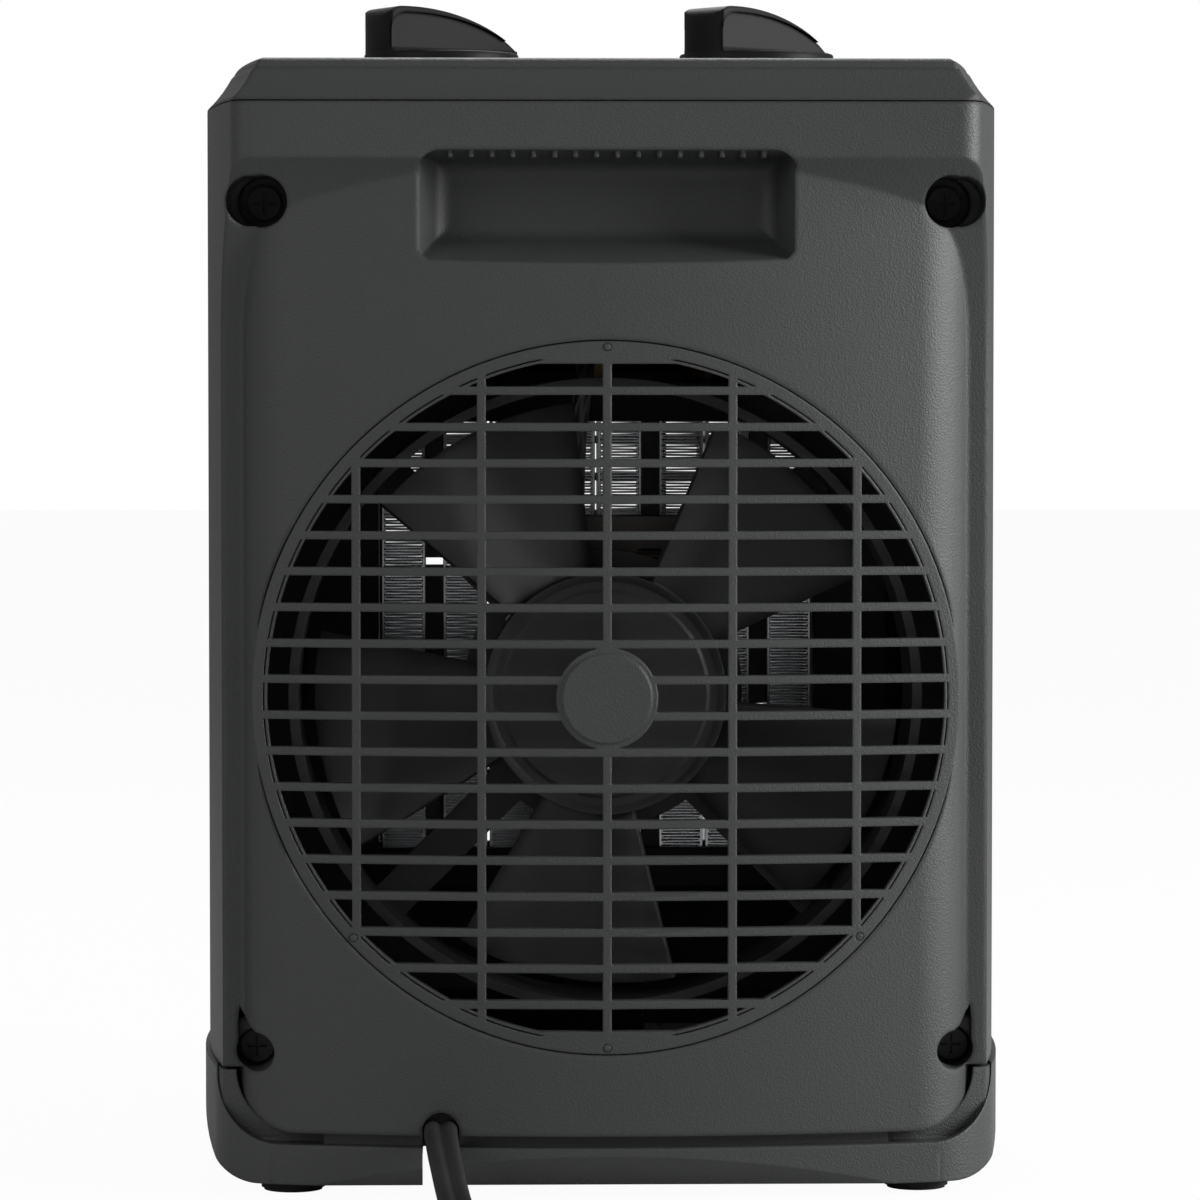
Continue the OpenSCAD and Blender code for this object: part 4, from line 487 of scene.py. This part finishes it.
def tube(name, line, rolls, section, start=None, end=None):
    """A closed tube: a section swept along a line of points in metres, with a UV map along it

    rolls turns the section about the line, in degrees. start and end set the directions at its ends.
    """
    line = [np.array(p, float) for p in line]
    count, sides = len(line), len(section)
    heads = []
    for i in range(count):
        d = line[min(i + 1, count - 1)] - line[max(i - 1, 0)]
        heads.append(d / np.linalg.norm(d))
    if start is not None:
        heads[0] = np.array(start, float)
    if end is not None:
        heads[-1] = np.array(end, float)
    points = []
    for p, t, roll in zip(line, heads, rolls):
        across = np.cross(t, (0, 0, 1))
        across = across / np.linalg.norm(across)
        up = np.cross(across, t)
        ca, sa = math.cos(math.radians(roll)), math.sin(math.radians(roll))
        a, b = ca * across + sa * up, ca * up - sa * across
        points += [tuple(p + q[0] * a + q[1] * b) for q in section]
    faces = []
    for i in range(count - 1):
        for j in range(sides):
            k = (j + 1) % sides
            faces.append((i * sides + j, (i + 1) * sides + j, (i + 1) * sides + k, i * sides + k))
    faces.append(tuple(range(sides)))
    faces.append(tuple(reversed(range((count - 1) * sides, count * sides))))
    mesh = bpy.data.meshes.new(name)
    mesh.from_pydata(points, [], faces)
    spans = [np.linalg.norm(line[i + 1] - line[i]) for i in range(count - 1)]
    lengths = np.concatenate([[0], np.cumsum(spans)])
    layer = mesh.uv_layers.new(name="along")
    around = sum(math.dist(section[j], section[(j + 1) % sides]) for j in range(sides))
    for face in mesh.polygons:
        for loop in face.loop_indices:
            v = mesh.loops[loop].vertex_index
            j = v % sides
            # The last side's far edge ends the map instead of starting it
            if j == 0 and len(face.vertices) == 4 and any(x % sides == sides - 1 for x in face.vertices):
                j = sides
            layer.data[loop].uv = (j / sides, lengths[v // sides] / around)
    mesh.validate()
    piece = bpy.data.objects.new(name, mesh)
    bpy.context.collection.objects.link(piece)
    take(piece)
    bpy.ops.object.mode_set(mode="EDIT")
    bpy.ops.mesh.select_all(action="SELECT")
    bpy.ops.mesh.normals_make_consistent(inside=False)
    done()
    return piece


def round_section(radius, sides):
    """A circle of points"""
    turns = [math.tau * i / sides for i in range(sides)]
    return [(radius * math.cos(a), radius * math.sin(a)) for a in turns]


def twin_section(width, thickness):
    """Two round cores side by side with a groove between them"""
    r = thickness / 2
    x = width / 2 - r
    groove = 140  # angle from a core's outer side to the groove
    arc = [math.radians(a) for a in range(-groove, groove + 1, groove // 5)]
    right = [(x + r * math.cos(a), r * math.sin(a)) for a in arc]
    left = [(-x + r * math.cos(a + math.pi), r * math.sin(a + math.pi)) for a in arc]
    return right + left


def coil_point(a):
    """Middle of the cord at an angle round the coil, in millimetres"""
    if a < COIL_IN:
        r = COIL_R - COIL_PITCH * a / 360
    elif a < COIL_IN + COIL_CLIMB:
        dip = CLIMB_DIP * COIL_PITCH * math.sin(math.radians(a - COIL_IN))
        r = COIL_R - COIL_PITCH * COIL_IN / 360 - dip
    else:
        r = COIL_R - COIL_PITCH * (COIL_TOTAL - a) / 360
    t = min(max((a - COIL_IN) / COIL_CLIMB, 0), 1)
    return (
        COIL_MID[0] - r * math.cos(math.radians(a)),
        COIL_MID[1] + r * math.sin(math.radians(a)),
        COIL_LOW + COIL_RISE * t * t * (3 - 2 * t),
    )


# Operators


class HeaterPiece:
    """What every step of the dressing shares"""

    bl_options = {"REGISTER", "UNDO"}


class HEATER_OT_stage(HeaterPiece, Operator):
    """Adds the pale floor, the lamps, the pale world and the camera"""

    bl_idname = "heater.stage"
    bl_label = "Stage"

    floor_size = 12
    floor_drop = 0.0002  # how far the floor lies under the feet
    paper_grey = 0.6
    paper_glow = 0.96  # share of the floor's white that the camera sees at any light
    room_light = 0.25  # strength of the room's light on the part

    def execute(self, context):
        settings = context.scene.heater_stage
        clear_selection()
        bpy.ops.mesh.primitive_plane_add(size=self.floor_size, location=(0, 0, -self.floor_drop))
        floor = context.object
        floor.name = "floor"
        floor.data.materials.append(self.paper())

        camera = bpy.data.objects.new("camera", bpy.data.cameras.new("camera"))
        context.collection.objects.link(camera)
        camera.location = settings.camera_place
        camera.rotation_euler = settings.camera_turn
        camera.data.lens = settings.lens
        camera.data.sensor_width = 36
        camera.data.clip_end = 50
        camera.data.dof.use_dof = False
        context.scene.camera = camera

        self.lamp("key_lamp", place=(-0.85, 0.3, 0.42), aim=(0.0, 0.03, 0.13), size=0.45,
                  power=settings.key_power)
        self.lamp("fill_lamp", place=(0.95, 1.0, 0.8), aim=(0.0, 0.0, 0.12), size=1.0,
                  power=settings.fill_power)
        self.lamp("outlet_lamp", place=(0.0, -0.8, 1.0), aim=(0.0, 0.0, 0.12), size=0.5,
                  power=settings.front_power)
        self.world(context)
        context.scene.view_settings.view_transform = "Standard"
        return {"FINISHED"}

    def paper(self):
        """Pale paper that the camera sees as nearly white, and that keeps the part's shadow"""
        f = Finish("floor_paper", (self.paper_grey,) * 3, 0.9, specular=0.1)
        path = f.tree.nodes.new("ShaderNodeLightPath")
        seen = Wire(f, path.outputs["Is Camera Ray"])
        glow = f.node("ShaderNodeEmission", {}, {"Color": (1, 1, 1, 1), "Strength": 1.0})
        shaded = Wire(f, f.shader.outputs["BSDF"])
        blended = f.node("ShaderNodeMixShader", {}, {0: seen * self.paper_glow, 1: shaded, 2: glow})
        f.tree.links.new(blended.socket, f.tree.nodes["Material Output"].inputs["Surface"])
        return f.material

    def lamp(self, name, place, aim, size, power):
        """A square lamp that faces a point"""
        light = bpy.data.lights.new(name, "AREA")
        light.shape = "SQUARE"
        light.size = size
        light.energy = power
        lamp = bpy.data.objects.new(name, light)
        bpy.context.collection.objects.link(lamp)
        lamp.location = place
        lamp.rotation_euler = (Vector(aim) - Vector(place)).to_track_quat("-Z", "Y").to_euler()

    def world(self, context):
        """A room that the camera sees as white, and that lights the part softly"""
        world = bpy.data.worlds.new("pale_room")
        world.use_nodes = True
        tree = world.node_tree
        back = tree.nodes["Background"]
        path = tree.nodes.new("ShaderNodeLightPath")
        strength = tree.nodes.new("ShaderNodeMapRange")
        strength.inputs["To Min"].default_value = self.room_light
        strength.inputs["To Max"].default_value = 1.0
        tree.links.new(path.outputs["Is Camera Ray"], strength.inputs["Value"])
        back.inputs["Color"].default_value = (1, 1, 1, 1)
        tree.links.new(strength.outputs["Result"], back.inputs["Strength"])
        context.scene.world = world


class HEATER_OT_cord(HeaterPiece, Operator):
    """Makes the two-core cord from the notch through the coil to the plug"""

    bl_idname = "heater.cord"
    bl_label = "Cord"

    def execute(self, context):
        settings = context.scene.heater_cord
        steps = 3
        line = smooth_route(CORD_ROUTE, steps)
        rolls = [float(r[0]) for r in smooth_route([(r,) for r in CORD_ROLLS], steps)]
        count = round(COIL_TOTAL * COIL_POINTS / 360)
        coil = [coil_point(i * COIL_TOTAL / count) for i in range(1, count + 1)]
        line += [np.array(p) for p in coil]
        rolls += [90.0] * len(coil)
        x, y, z = coil_point(COIL_TOTAL)
        tail = [(x, y, z), (x - CORD_WIDE, y, z)] + [(across, y, up) for across, up in TAIL_ROUTE]
        line += smooth_route(tail, steps)[1:]
        rolls += [float(r[0]) for r in smooth_route([(r,) for r in TAIL_ROLLS], steps)][1:]
        line = [p * MM for p in line]
        piece = tube("two_core_cord", line, rolls, twin_section(settings.width, settings.thickness),
                     start=(0, 1, 0), end=(-1, 0, 0))
        settle(piece, "two_core_cord", vinyl("cord_vinyl", settings.colour), 50)
        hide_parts("cord", "cord_coil", "cord_tail")
        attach(piece, "case")
        length = sum(float(np.linalg.norm(b - a)) for a, b in zip(line, line[1:]))
        relief = vinyl("relief_vinyl", settings.colour, 0.0005)
        for node in ("strain_relief", "plug", "cord_tie"):
            dress(node, relief)
        dress("plug_blades", metal("plug_brass", (0.72, 0.56, 0.28), 0.28))
        return {"FINISHED"}


class HEATER_OT_case(HeaterPiece, Operator):
    """Finishes the case, base, cover, grilles, feet and screws"""

    bl_idname = "heater.case"
    bl_label = "Case"

    grain_depth = 1.2e-4
    thin_edge = 0.45  # share of the edge's softness that the thin mouldings have

    def execute(self, context):
        s = context.scene.heater_case
        shell = moulded("case_plastic", s.colour, s.roughness, s.grain, self.grain_depth, s.edge)
        for node in ("front_shell", "rear_shell", "top_cover"):
            dress(node, shell)
        thin = moulded("grille_plastic", s.colour, s.roughness, s.grain, self.grain_depth,
                       s.edge * self.thin_edge)
        for node in ("base", "rear_grille", "front_grille", "grille_pins"):
            dress(node, thin)
        dress("rubber_feet", moulded("foot_rubber", (0.018, 0.018, 0.018), 0.8, 0.0006, 8e-5, cloud=0.3))
        dress("case_screws", metal("black_screw", (0.045, 0.045, 0.047), 0.5))
        plated = metal("plated_steel", (0.56, 0.56, 0.58), 0.3)
        for node in ("base_screws", "control_screws", "motor_screws", "duct_screws", "element_screws",
                     "motor_shaft", "thermostat_shaft", "tip_spring", "tip_bracket"):
            dress(node, plated)
        return {"FINISHED"}


class HEATER_OT_knobs(HeaterPiece, Operator):
    """Models the two knobs: a round foot, and a tall grip that falls away, with sunk side panels"""

    bl_idname = "heater.knobs"
    bl_label = "Knobs"

    grip_inset = 0.0002  # the grip's round ends stay this far inside the foot
    sink = 0.001  # depth that the grip starts at in the foot
    crest = 0.005  # length of the flat top at the tall end
    fullness = 0.75  # power that sets how fully the top falls away
    border = 0.0013  # width left round a side panel
    panel_rise = 0.0016  # height of a side panel's lower edge over the grip's start
    bore = 0.0031  # radius
    bore_start = -0.001  # under the foot, so that the bore is open
    bore_roof = 0.004  # plastic left over the bore
    least_height = 0.0003  # of the grip at its far end
    columns = 40  # parts of the grip's side view along its length
    aside = 2.0  # vertices that have their place wait this far away, where no later pick finds them

    def execute(self, context):
        s = context.scene.heater_knobs
        gloss = moulded(
            "knob_plastic", s.colour, s.roughness, 0.0003, 2e-5, 0.0012, cloud=0.1, specular=0.11)
        for node, body, turn in (("thermostat_knob", "thermostat", s.thermostat_rest),
                                 ("mode_knob", "mode", s.mode_rest)):
            low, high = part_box(node)
            knob = self.knob(context, s, (high.x - low.x) / 2, high.z - low.z)
            knob.rotation_euler = (0, 0, turn)
            knob.location = ((low.x + high.x) / 2, (low.y + high.y) / 2, low.z)
            settle(knob, "moulded_" + node, gloss, 30)
            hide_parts(node)
            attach(knob, body)
        return {"FINISHED"}

    def knob(self, context, s, radius, height):
        """One knob over its own origin, its tall end towards +X"""
        reach = radius - self.grip_inset
        grip = self.slab(context, s, reach, height, 0, s.grip)
        self.combine(grip, "INTERSECT", self.rod(context, reach, 0.0, 2 * height))
        for side in (-1, 1):
            panel = self.slab(
                context, s, reach - self.border, height - self.border, self.panel_rise, 2 * s.panel)
            panel.location = (0, side * s.grip / 2, 0)
            bpy.ops.object.transform_apply(location=True, rotation=False, scale=False)
            self.combine(grip, "DIFFERENCE", panel)
        foot = self.rod(context, radius, 0.0, s.foot)
        use(foot, "BEVEL", width=0.0006, segments=3, limit_method="ANGLE", angle_limit=math.radians(50))
        self.combine(foot, "UNION", grip)
        self.combine(foot, "DIFFERENCE", self.rod(
            context, self.bore, self.bore_start, height - self.bore_roof))
        return foot

    def slab(self, context, s, reach, top, rise, thickness):
        """A slab in the grip's side view: tall at +X with a round corner, and falling away to -X"""
        clear_selection()
        bpy.ops.mesh.primitive_grid_add(
            x_subdivisions=self.columns, y_subdivisions=1, size=1, rotation=(math.pi / 2, 0, 0))
        slab = context.object
        bpy.ops.object.transform_apply(location=False, rotation=True, scale=False)
        floor = s.foot - self.sink + rise
        for i in range(self.columns + 1):
            at = -0.5 + i / self.columns
            x = reach * math.sin(math.pi * at)
            along = min(max((reach - self.crest - x) / (2 * reach - self.crest), 0), 1)
            z = floor + (top - floor) * (1 - along ** 2) ** self.fullness
            past = x - reach + s.corner
            if past > 0:
                z = min(z, top - s.corner + math.sqrt(max(s.corner ** 2 - past ** 2, 0)))
            for old, new in ((-0.5, floor), (0.5, max(z, floor + self.least_height))):
                pick(slab, "VERT",
                     lambda co, n: abs(co.x - at) < 0.3 / self.columns and abs(co.z - old) < 1e-4)
                bpy.ops.transform.translate(value=(x - at + self.aside, 0, new - old))
                done()
        slab.location = (-self.aside, 0, 0)
        bpy.ops.object.transform_apply(location=True, rotation=False, scale=False)
        use(slab, "SOLIDIFY", thickness=thickness, offset=0)
        return slab

    def rod(self, context, radius, low, high):
        """An upright cylinder on the knob's axis"""
        clear_selection()
        bpy.ops.mesh.primitive_cylinder_add(
            vertices=96, radius=radius, depth=high - low, location=(0, 0, (low + high) / 2))
        bpy.ops.object.transform_apply(location=True, rotation=False, scale=False)
        return context.object

    def combine(self, piece, operation, other):
        """Joins, cuts or trims a piece with another, which is used up"""
        use(piece, "BOOLEAN", operation=operation, object=other, solver="EXACT")
        bpy.data.objects.remove(other)
        take(piece)


class HEATER_OT_workings(HeaterPiece, Operator):
    """Finishes the motor, the controls, the tip-over switch and the wiring blocks"""

    bl_idname = "heater.workings"
    bl_label = "Workings"

    def execute(self, context):
        black = moulded("duct_plastic", (0.022, 0.022, 0.022), 0.5, 0.0006, 6e-5, 0.0003)
        for node in ("fan_duct", "element_frame", "rotary_switch", "tip_switch"):
            dress(node, black)
        white = moulded("white_plastic", (0.7, 0.69, 0.65), 0.45, 0.0006, 4e-5)
        for node in ("mode_shaft", "tip_plunger", "terminal_block"):
            dress(node, white)
        dress("thermal_cutout", moulded("brown_resin", (0.09, 0.04, 0.02), 0.35, 0.0006, 4e-5))
        dress("thermostat_body", stone("steatite", (0.68, 0.64, 0.54)))
        dress("element_stones", stone("heating_stone", (0.2, 0.19, 0.18)))
        dress("element_terminals", metal("terminal_brass", (0.3, 0.23, 0.12), 0.42))
        # The brackets are given a colour far darker than bare cast alloy, to stand for the shade inside the
        # case: painted shade
        cast = metal("cast_alloy", (0.13, 0.13, 0.135), 0.55, depth=2e-5)
        for node in ("rear_bracket", "front_bracket"):
            dress(node, cast)
        dress("shaft_bushes", metal("sintered_bronze", (0.42, 0.3, 0.16), 0.45))
        # The laminations are given a colour far darker than bare steel, to stand for the shade inside the
        # case: painted shade
        steel = laminated("laminations", (0.09, 0.085, 0.08))
        for node in ("motor_stator", "rotor"):
            dress(node, steel)
        # The coil's colour is kept near black, far darker than enamelled copper, to stand for the shade
        # inside the case: painted shade
        dress("motor_coil", winding("coil_wire", (0.035, 0.022, 0.014)))
        return {"FINISHED"}


class HEATER_OT_fins(HeaterPiece, Operator):
    """Models the heater bars: columns of fine folded aluminium fins between side plates"""

    bl_idname = "heater.fins"
    bl_label = "Fins"

    pairs = 4
    plate = 0.0008  # thickness of a side plate
    end_gap = 0.001  # room over and under the folds
    # Rows of the fold's strip from its top: number from the middle, side it goes to, and rise in folds
    fold_rows = ((2, -1, 0.21), (1, -1, 0.04), (0, 1, 0.21), (-1, 1, 0.04), (-2, -1, 0.21))

    def execute(self, context):
        s = context.scene.heater_fins
        low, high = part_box("element_fins")
        width = s.column
        depth, height = high.y - low.y, high.z - low.z
        fold = (height - 2 * self.end_gap) / s.folds
        half = width / 2 - self.plate
        x, y = low.x + width / 2, (low.y + high.y) / 2
        middle = low.z + self.end_gap + fold / 2
        # One fold: a strip folded there and back with short ends, and a wave along its depth
        clear_selection()
        bpy.ops.mesh.primitive_grid_add(x_subdivisions=6, y_subdivisions=4, size=1)
        strip = context.object
        strip.scale = (depth, fold, 1)
        bpy.ops.object.transform_apply(location=False, rotation=False, scale=True)
        strip.rotation_euler = (math.pi / 2, 0, math.pi / 2)
        strip.location = (x, y, middle)
        bpy.ops.object.transform_apply(location=True, rotation=True, scale=True)
        for row, side, rise in self.fold_rows:
            pick(strip, "VERT", lambda co, n: abs(co.z - middle - row * fold / 4) < fold * 0.02
                 and abs(co.x - x) < half / 2)
            bpy.ops.transform.translate(value=(side * half, 0, rise * fold))
            done()
        for sign in (-1, 1):
            pick(strip, "VERT", lambda co, n: abs(co.y - y - sign * depth / 6) < depth / 10)
            bpy.ops.transform.translate(value=(0, 0, sign * s.wave))
            done()
        use(strip, "ARRAY", count=s.folds, use_relative_offset=False, use_constant_offset=True,
            constant_offset_displace=(0, 0, fold), use_merge_vertices=True, merge_threshold=1e-5)
        use(strip, "SOLIDIFY", thickness=s.thickness, offset=0)
        # Side plates that the folds are bonded to
        for side in (-1, 1):
            clear_selection()
            bpy.ops.mesh.primitive_cube_add(
                size=1, location=(x + side * (width / 2 - self.plate / 2), y, (low.z + high.z) / 2))
            plate = context.object
            plate.scale = (self.plate, depth, height)
            bpy.ops.object.transform_apply(location=True, rotation=True, scale=True)
            use(plate, "BEVEL", width=0.0002, segments=1)
            plate.select_set(True)
            strip.select_set(True)
            context.view_layer.objects.active = strip
            bpy.ops.object.join()
        use(strip, "ARRAY", count=2, use_relative_offset=False, use_constant_offset=True,
            constant_offset_displace=(width + s.stone, 0, 0))
        step = (high.x - low.x - 2 * width - s.stone) / (self.pairs - 1)
        use(strip, "ARRAY", count=self.pairs, use_relative_offset=False, use_constant_offset=True,
            constant_offset_displace=(step, 0, 0))
        settle(strip, "folded_fins", metal("fin_aluminium", (0.74, 0.75, 0.77), 0.2, (1, 6, 1)),
               0)
        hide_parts("element_fins")
        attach(strip, "case")
        return {"FINISHED"}


class HEATER_OT_fan(HeaterPiece, Operator):
    """Models the fan: twisted, cambered blades with round corners on a rimmed hub"""

    bl_idname = "heater.fan"
    bl_label = "Fan"

    blades = 5
    stations = 9  # parts of a blade along its length
    overlap = 0.002  # length of a blade inside the hub, and past the trim at its tip
    tip_corner = 0.006
    trim_gap = 0.0002  # what the trimmed blades are narrower than the CAD fan by
    # Rows of a blade across its chord, and how much of the camber each has
    camber_rows = ((2, 0.45), (3, 0.8), (4, 1.0), (5, 0.8), (6, 0.45))
    # Inset and push of each ring on the hub's back, from its rim inwards
    hub_rings = ((0.0019, -0.0012), (0.0016, 0.0), (0.0008, 0.0005), (0.0128, 0.0), (0.001, 0.0012))
    hub_wall = 0.0025
    hub_floor = 0.0045
    boss = 0.0045  # radius of the boss round the shaft

    def execute(self, context):
        s = context.scene.heater_fan
        low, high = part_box("fan_blade")
        radius = (high.x - low.x) / 2
        shaft_low, shaft_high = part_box("motor_shaft")
        mid_z = shaft_low.z + (shaft_high.z - shaft_low.z) / 2
        mid_y = (low.y + high.y) / 2
        hub = self.hub(context, mid_y, mid_z, s)
        root = s.hub - self.overlap
        reach = radius - root + self.overlap
        clear_selection()
        bpy.ops.mesh.primitive_grid_add(x_subdivisions=self.stations, y_subdivisions=8, size=1)
        blade = context.object
        blade.scale = (reach, 1, 1)
        bpy.ops.object.transform_apply(location=False, rotation=False, scale=True)
        blade.location = ((radius + root + self.overlap) / 2, 0, 0)
        bpy.ops.object.transform_apply(location=True, rotation=False, scale=False)
        for i in range(self.stations + 1):
            at = root + reach * i / self.stations
            pitch = s.pitch + s.twist * (0.5 - i / self.stations)
            chord = 2 * at * math.sin(s.span / 2) / math.cos(pitch)
            pick(blade, "VERT", lambda co, n: abs(co.x - at) < reach / self.stations / 3)
            centre = (at, 0, 0)
            bpy.ops.transform.resize(value=(1, chord, 1), center_override=centre)
            bpy.ops.transform.rotate(value=-pitch, orient_axis="X", center_override=centre)
            done()
        # Camber: the middle of the chord bows back
        for j, bow in self.camber_rows:
            row = self.row(blade, j)
            pick(blade, "VERT", lambda co, n: min((co - r).length for r in row) < 1e-5)
            bpy.ops.transform.translate(value=(0, 0, s.camber * bow))
            done()
        # Round corners at the tip
        tips = [max(blade.data.vertices, key=lambda v: v.co.x * 10 + k * v.co.y).co.copy() for k in (-1, 1)]
        pick(blade, "VERT", lambda co, n: min((co - t).length for t in tips) < 1e-5)
        bpy.ops.mesh.bevel(affect="VERTICES", offset=self.tip_corner, segments=5)
        done()
        use(blade, "SOLIDIFY", thickness=s.sheet, offset=0, use_even_offset=True)
        # Stand the blade up: its plane across the shaft, its chord pitched along it
        take(blade)
        blade.rotation_euler = (math.pi / 2, 0, 0)
        blade.location = (0, mid_y, mid_z)
        bpy.ops.object.transform_apply(location=True, rotation=True, scale=True)
        clear_selection()
        bpy.ops.mesh.primitive_cylinder_add(
            vertices=128, radius=radius, depth=high.y - low.y - self.trim_gap,
            location=(0, mid_y, mid_z), rotation=(math.pi / 2, 0, 0))
        trim = context.object
        use(blade, "BOOLEAN", operation="INTERSECT", object=trim, solver="EXACT")
        bpy.data.objects.remove(trim)
        use(blade, "BEVEL", width=0.0004, segments=2, limit_method="ANGLE", angle_limit=math.radians(50))
        pieces = [hub]
        for i in range(self.blades):
            copy = blade.copy()
            copy.data = blade.data.copy()
            context.collection.objects.link(copy)
            take(copy)
            copy.location = (0, 0, 0)
            bpy.ops.object.mode_set(mode="EDIT")
            bpy.ops.mesh.select_all(action="SELECT")
            bpy.ops.transform.rotate(
                value=s.rest + i * math.tau / self.blades, orient_axis="Y",
                center_override=(0, mid_y, mid_z))
            done()
            pieces.append(copy)
        bpy.data.objects.remove(blade)
        clear_selection()
        for piece in pieces:
            piece.select_set(True)
        context.view_layer.objects.active = hub
        bpy.ops.object.join()
        plastic = moulded("fan_plastic", (0.02, 0.02, 0.0205), 0.5, 0.0008, 3e-5, 0.0004)
        fan = settle(hub, "moulded_fan", plastic, 30)
        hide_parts("fan_blade")
        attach(fan, "fan")
        return {"FINISHED"}

    def row(self, blade, j):
        """Places of the vertices in one row along the blade"""
        count = self.stations + 1
        return [blade.data.vertices[j * count + i].co.copy() for i in range(count)]

    def hub(self, context, mid_y, mid_z, s):
        """A cup open towards the motor, with a rim and a ring pressed into its back"""
        clear_selection()
        bpy.ops.mesh.primitive_cylinder_add(
            vertices=96, radius=s.hub, depth=s.hub_depth, location=(0, mid_y, mid_z),
            rotation=(-math.pi / 2, 0, 0), end_fill_type="NGON")
        hub = context.object
        bpy.ops.object.transform_apply(location=True, rotation=True, scale=True)
        pick(hub, "FACE", lambda co, n: n.y > 0.9)
        for inset, push in self.hub_rings:
            bpy.ops.mesh.inset(thickness=inset, depth=0)
            bpy.ops.transform.translate(value=(0, push, 0))
        done()
        pick(hub, "FACE", lambda co, n: n.y < -0.9)
        deep = s.hub_depth - self.hub_floor
        bpy.ops.mesh.inset(thickness=self.hub_wall, depth=0)
        bpy.ops.mesh.extrude_region_move(TRANSFORM_OT_translate={"value": (0, deep, 0)})
        bpy.ops.mesh.inset(thickness=s.hub - self.hub_wall - self.boss, depth=0)
        bpy.ops.mesh.extrude_region_move(TRANSFORM_OT_translate={"value": (0, -deep, 0)})
        done()
        use(hub, "BEVEL", width=0.0004, segments=2, limit_method="ANGLE", angle_limit=math.radians(40))
        return hub


class HEATER_OT_leads(HeaterPiece, Operator):
    """Models the insulated leads and the braided sleeve of the motor's lead"""

    bl_idname = "heater.leads"
    bl_label = "Leads"

    sleeve_radius = 0.0021
    lead_radius = 0.0012
    # Routes of the middles, in millimetres
    sleeve_route = [(-26, 5.6, 224), (-20, 12, 212), (-6, 20, 202), (2, 26, 190), (4, 28.5, 178),
                    (5.5, 28.8, 165), (6, 28.8, 152), (6, 28.8, 139.6)]
    lead_routes = [
        [(31.5, 15.5, 17), (31, 8, 17.5), (40, 2, 24), (60, -4, 40), (76, -8, 70), (80, -10, 120),
         (78, -8, 170), (62, -4, 212), (48, -1, 219), (45.5, 0, 221.5)],
        [(40.5, 15.5, 17), (42, 9, 18), (52, 4, 26), (70, 2, 42), (81, 0, 72), (83, 0, 120), (80, 0, 172),
         (50, 8, 204), (0, 10, 207), (-20, 5, 214), (-26.5, 0, 221.5)],
        [(27, 0, 221.5), (22, -2, 216), (12, -10, 206), (2, -24, 198), (0, -32, 193), (0, -34, 186.4)],
        [(-45.5, 0, 221.5), (-46, -4, 214), (-47, -16, 204), (-48.4, -30, 196), (-48.6, -34, 186.4)],
    ]

    def execute(self, context):
        line = [p * MM for p in smooth_route(self.sleeve_route, 6)]
        sleeve = tube("braided_sleeve", line, [0] * len(line), round_section(self.sleeve_radius, 16))
        settle(sleeve, "braided_sleeve", braid("glass_braid", (0.085, 0.087, 0.09)), 50)
        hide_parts("sleeved_lead")
        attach(sleeve, "case")
        skin = vinyl("lead_silicone", (0.025, 0.025, 0.027))
        pieces = []
        for number, route in enumerate(self.lead_routes):
            line = [p * MM for p in smooth_route(route, 5)]
            section = round_section(self.lead_radius, 10)
            pieces.append(tube(f"lead_{number}", line, [0] * len(line), section))
        clear_selection()
        for piece in pieces:
            piece.select_set(True)
        context.view_layer.objects.active = pieces[0]
        bpy.ops.object.join()
        leads = settle(context.object, "insulated_leads", skin, 50)
        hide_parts("internal_leads")
        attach(leads, "case")
        return {"FINISHED"}


class HEATER_PT_panel(Panel):
    """Lists the steps of the dressing and their settings"""

    bl_idname = "HEATER_PT_panel"
    bl_label = "Heater"
    bl_space_type = "VIEW_3D"
    bl_region_type = "UI"
    bl_category = "Heater"

    def draw(self, context):
        for group, steps in PANEL_ROWS:
            box = self.layout.box()
            for step in steps:
                box.operator(step.bl_idname)
            if group:
                settings = getattr(context.scene, group)
                for key in settings.bl_rna.properties.keys():
                    if key not in ("rna_type", "name"):
                        box.prop(settings, key)


PANEL_ROWS = [
    ("heater_stage", [HEATER_OT_stage]),
    ("heater_cord", [HEATER_OT_cord]),
    ("heater_case", [HEATER_OT_case]),
    ("heater_knobs", [HEATER_OT_knobs]),
    (None, [HEATER_OT_workings]),
    ("heater_fins", [HEATER_OT_fins]),
    ("heater_fan", [HEATER_OT_fan]),
    (None, [HEATER_OT_leads]),
]
GROUPS = {
    "heater_stage": StageSettings,
    "heater_cord": CordSettings,
    "heater_case": CaseSettings,
    "heater_knobs": KnobSettings,
    "heater_fins": FinSettings,
    "heater_fan": FanSettings,
}


def register():
    for group in GROUPS.values():
        bpy.utils.register_class(group)
    for _, steps in PANEL_ROWS:
        for step in steps:
            bpy.utils.register_class(step)
    bpy.utils.register_class(HEATER_PT_panel)
    for name, group in GROUPS.items():
        setattr(bpy.types.Scene, name, PointerProperty(type=group))


def unregister():
    for name in GROUPS:
        delattr(bpy.types.Scene, name)
    bpy.utils.unregister_class(HEATER_PT_panel)
    for _, steps in PANEL_ROWS:
        for step in steps:
            bpy.utils.unregister_class(step)
    for group in GROUPS.values():
        bpy.utils.unregister_class(group)


def main():
    register()
    bpy.ops.heater.stage()
    bpy.ops.heater.cord()
    bpy.ops.heater.case()
    bpy.ops.heater.knobs()
    bpy.ops.heater.workings()
    bpy.ops.heater.fins()
    bpy.ops.heater.fan()
    bpy.ops.heater.leads()


if __name__ == "__main__":
    main()
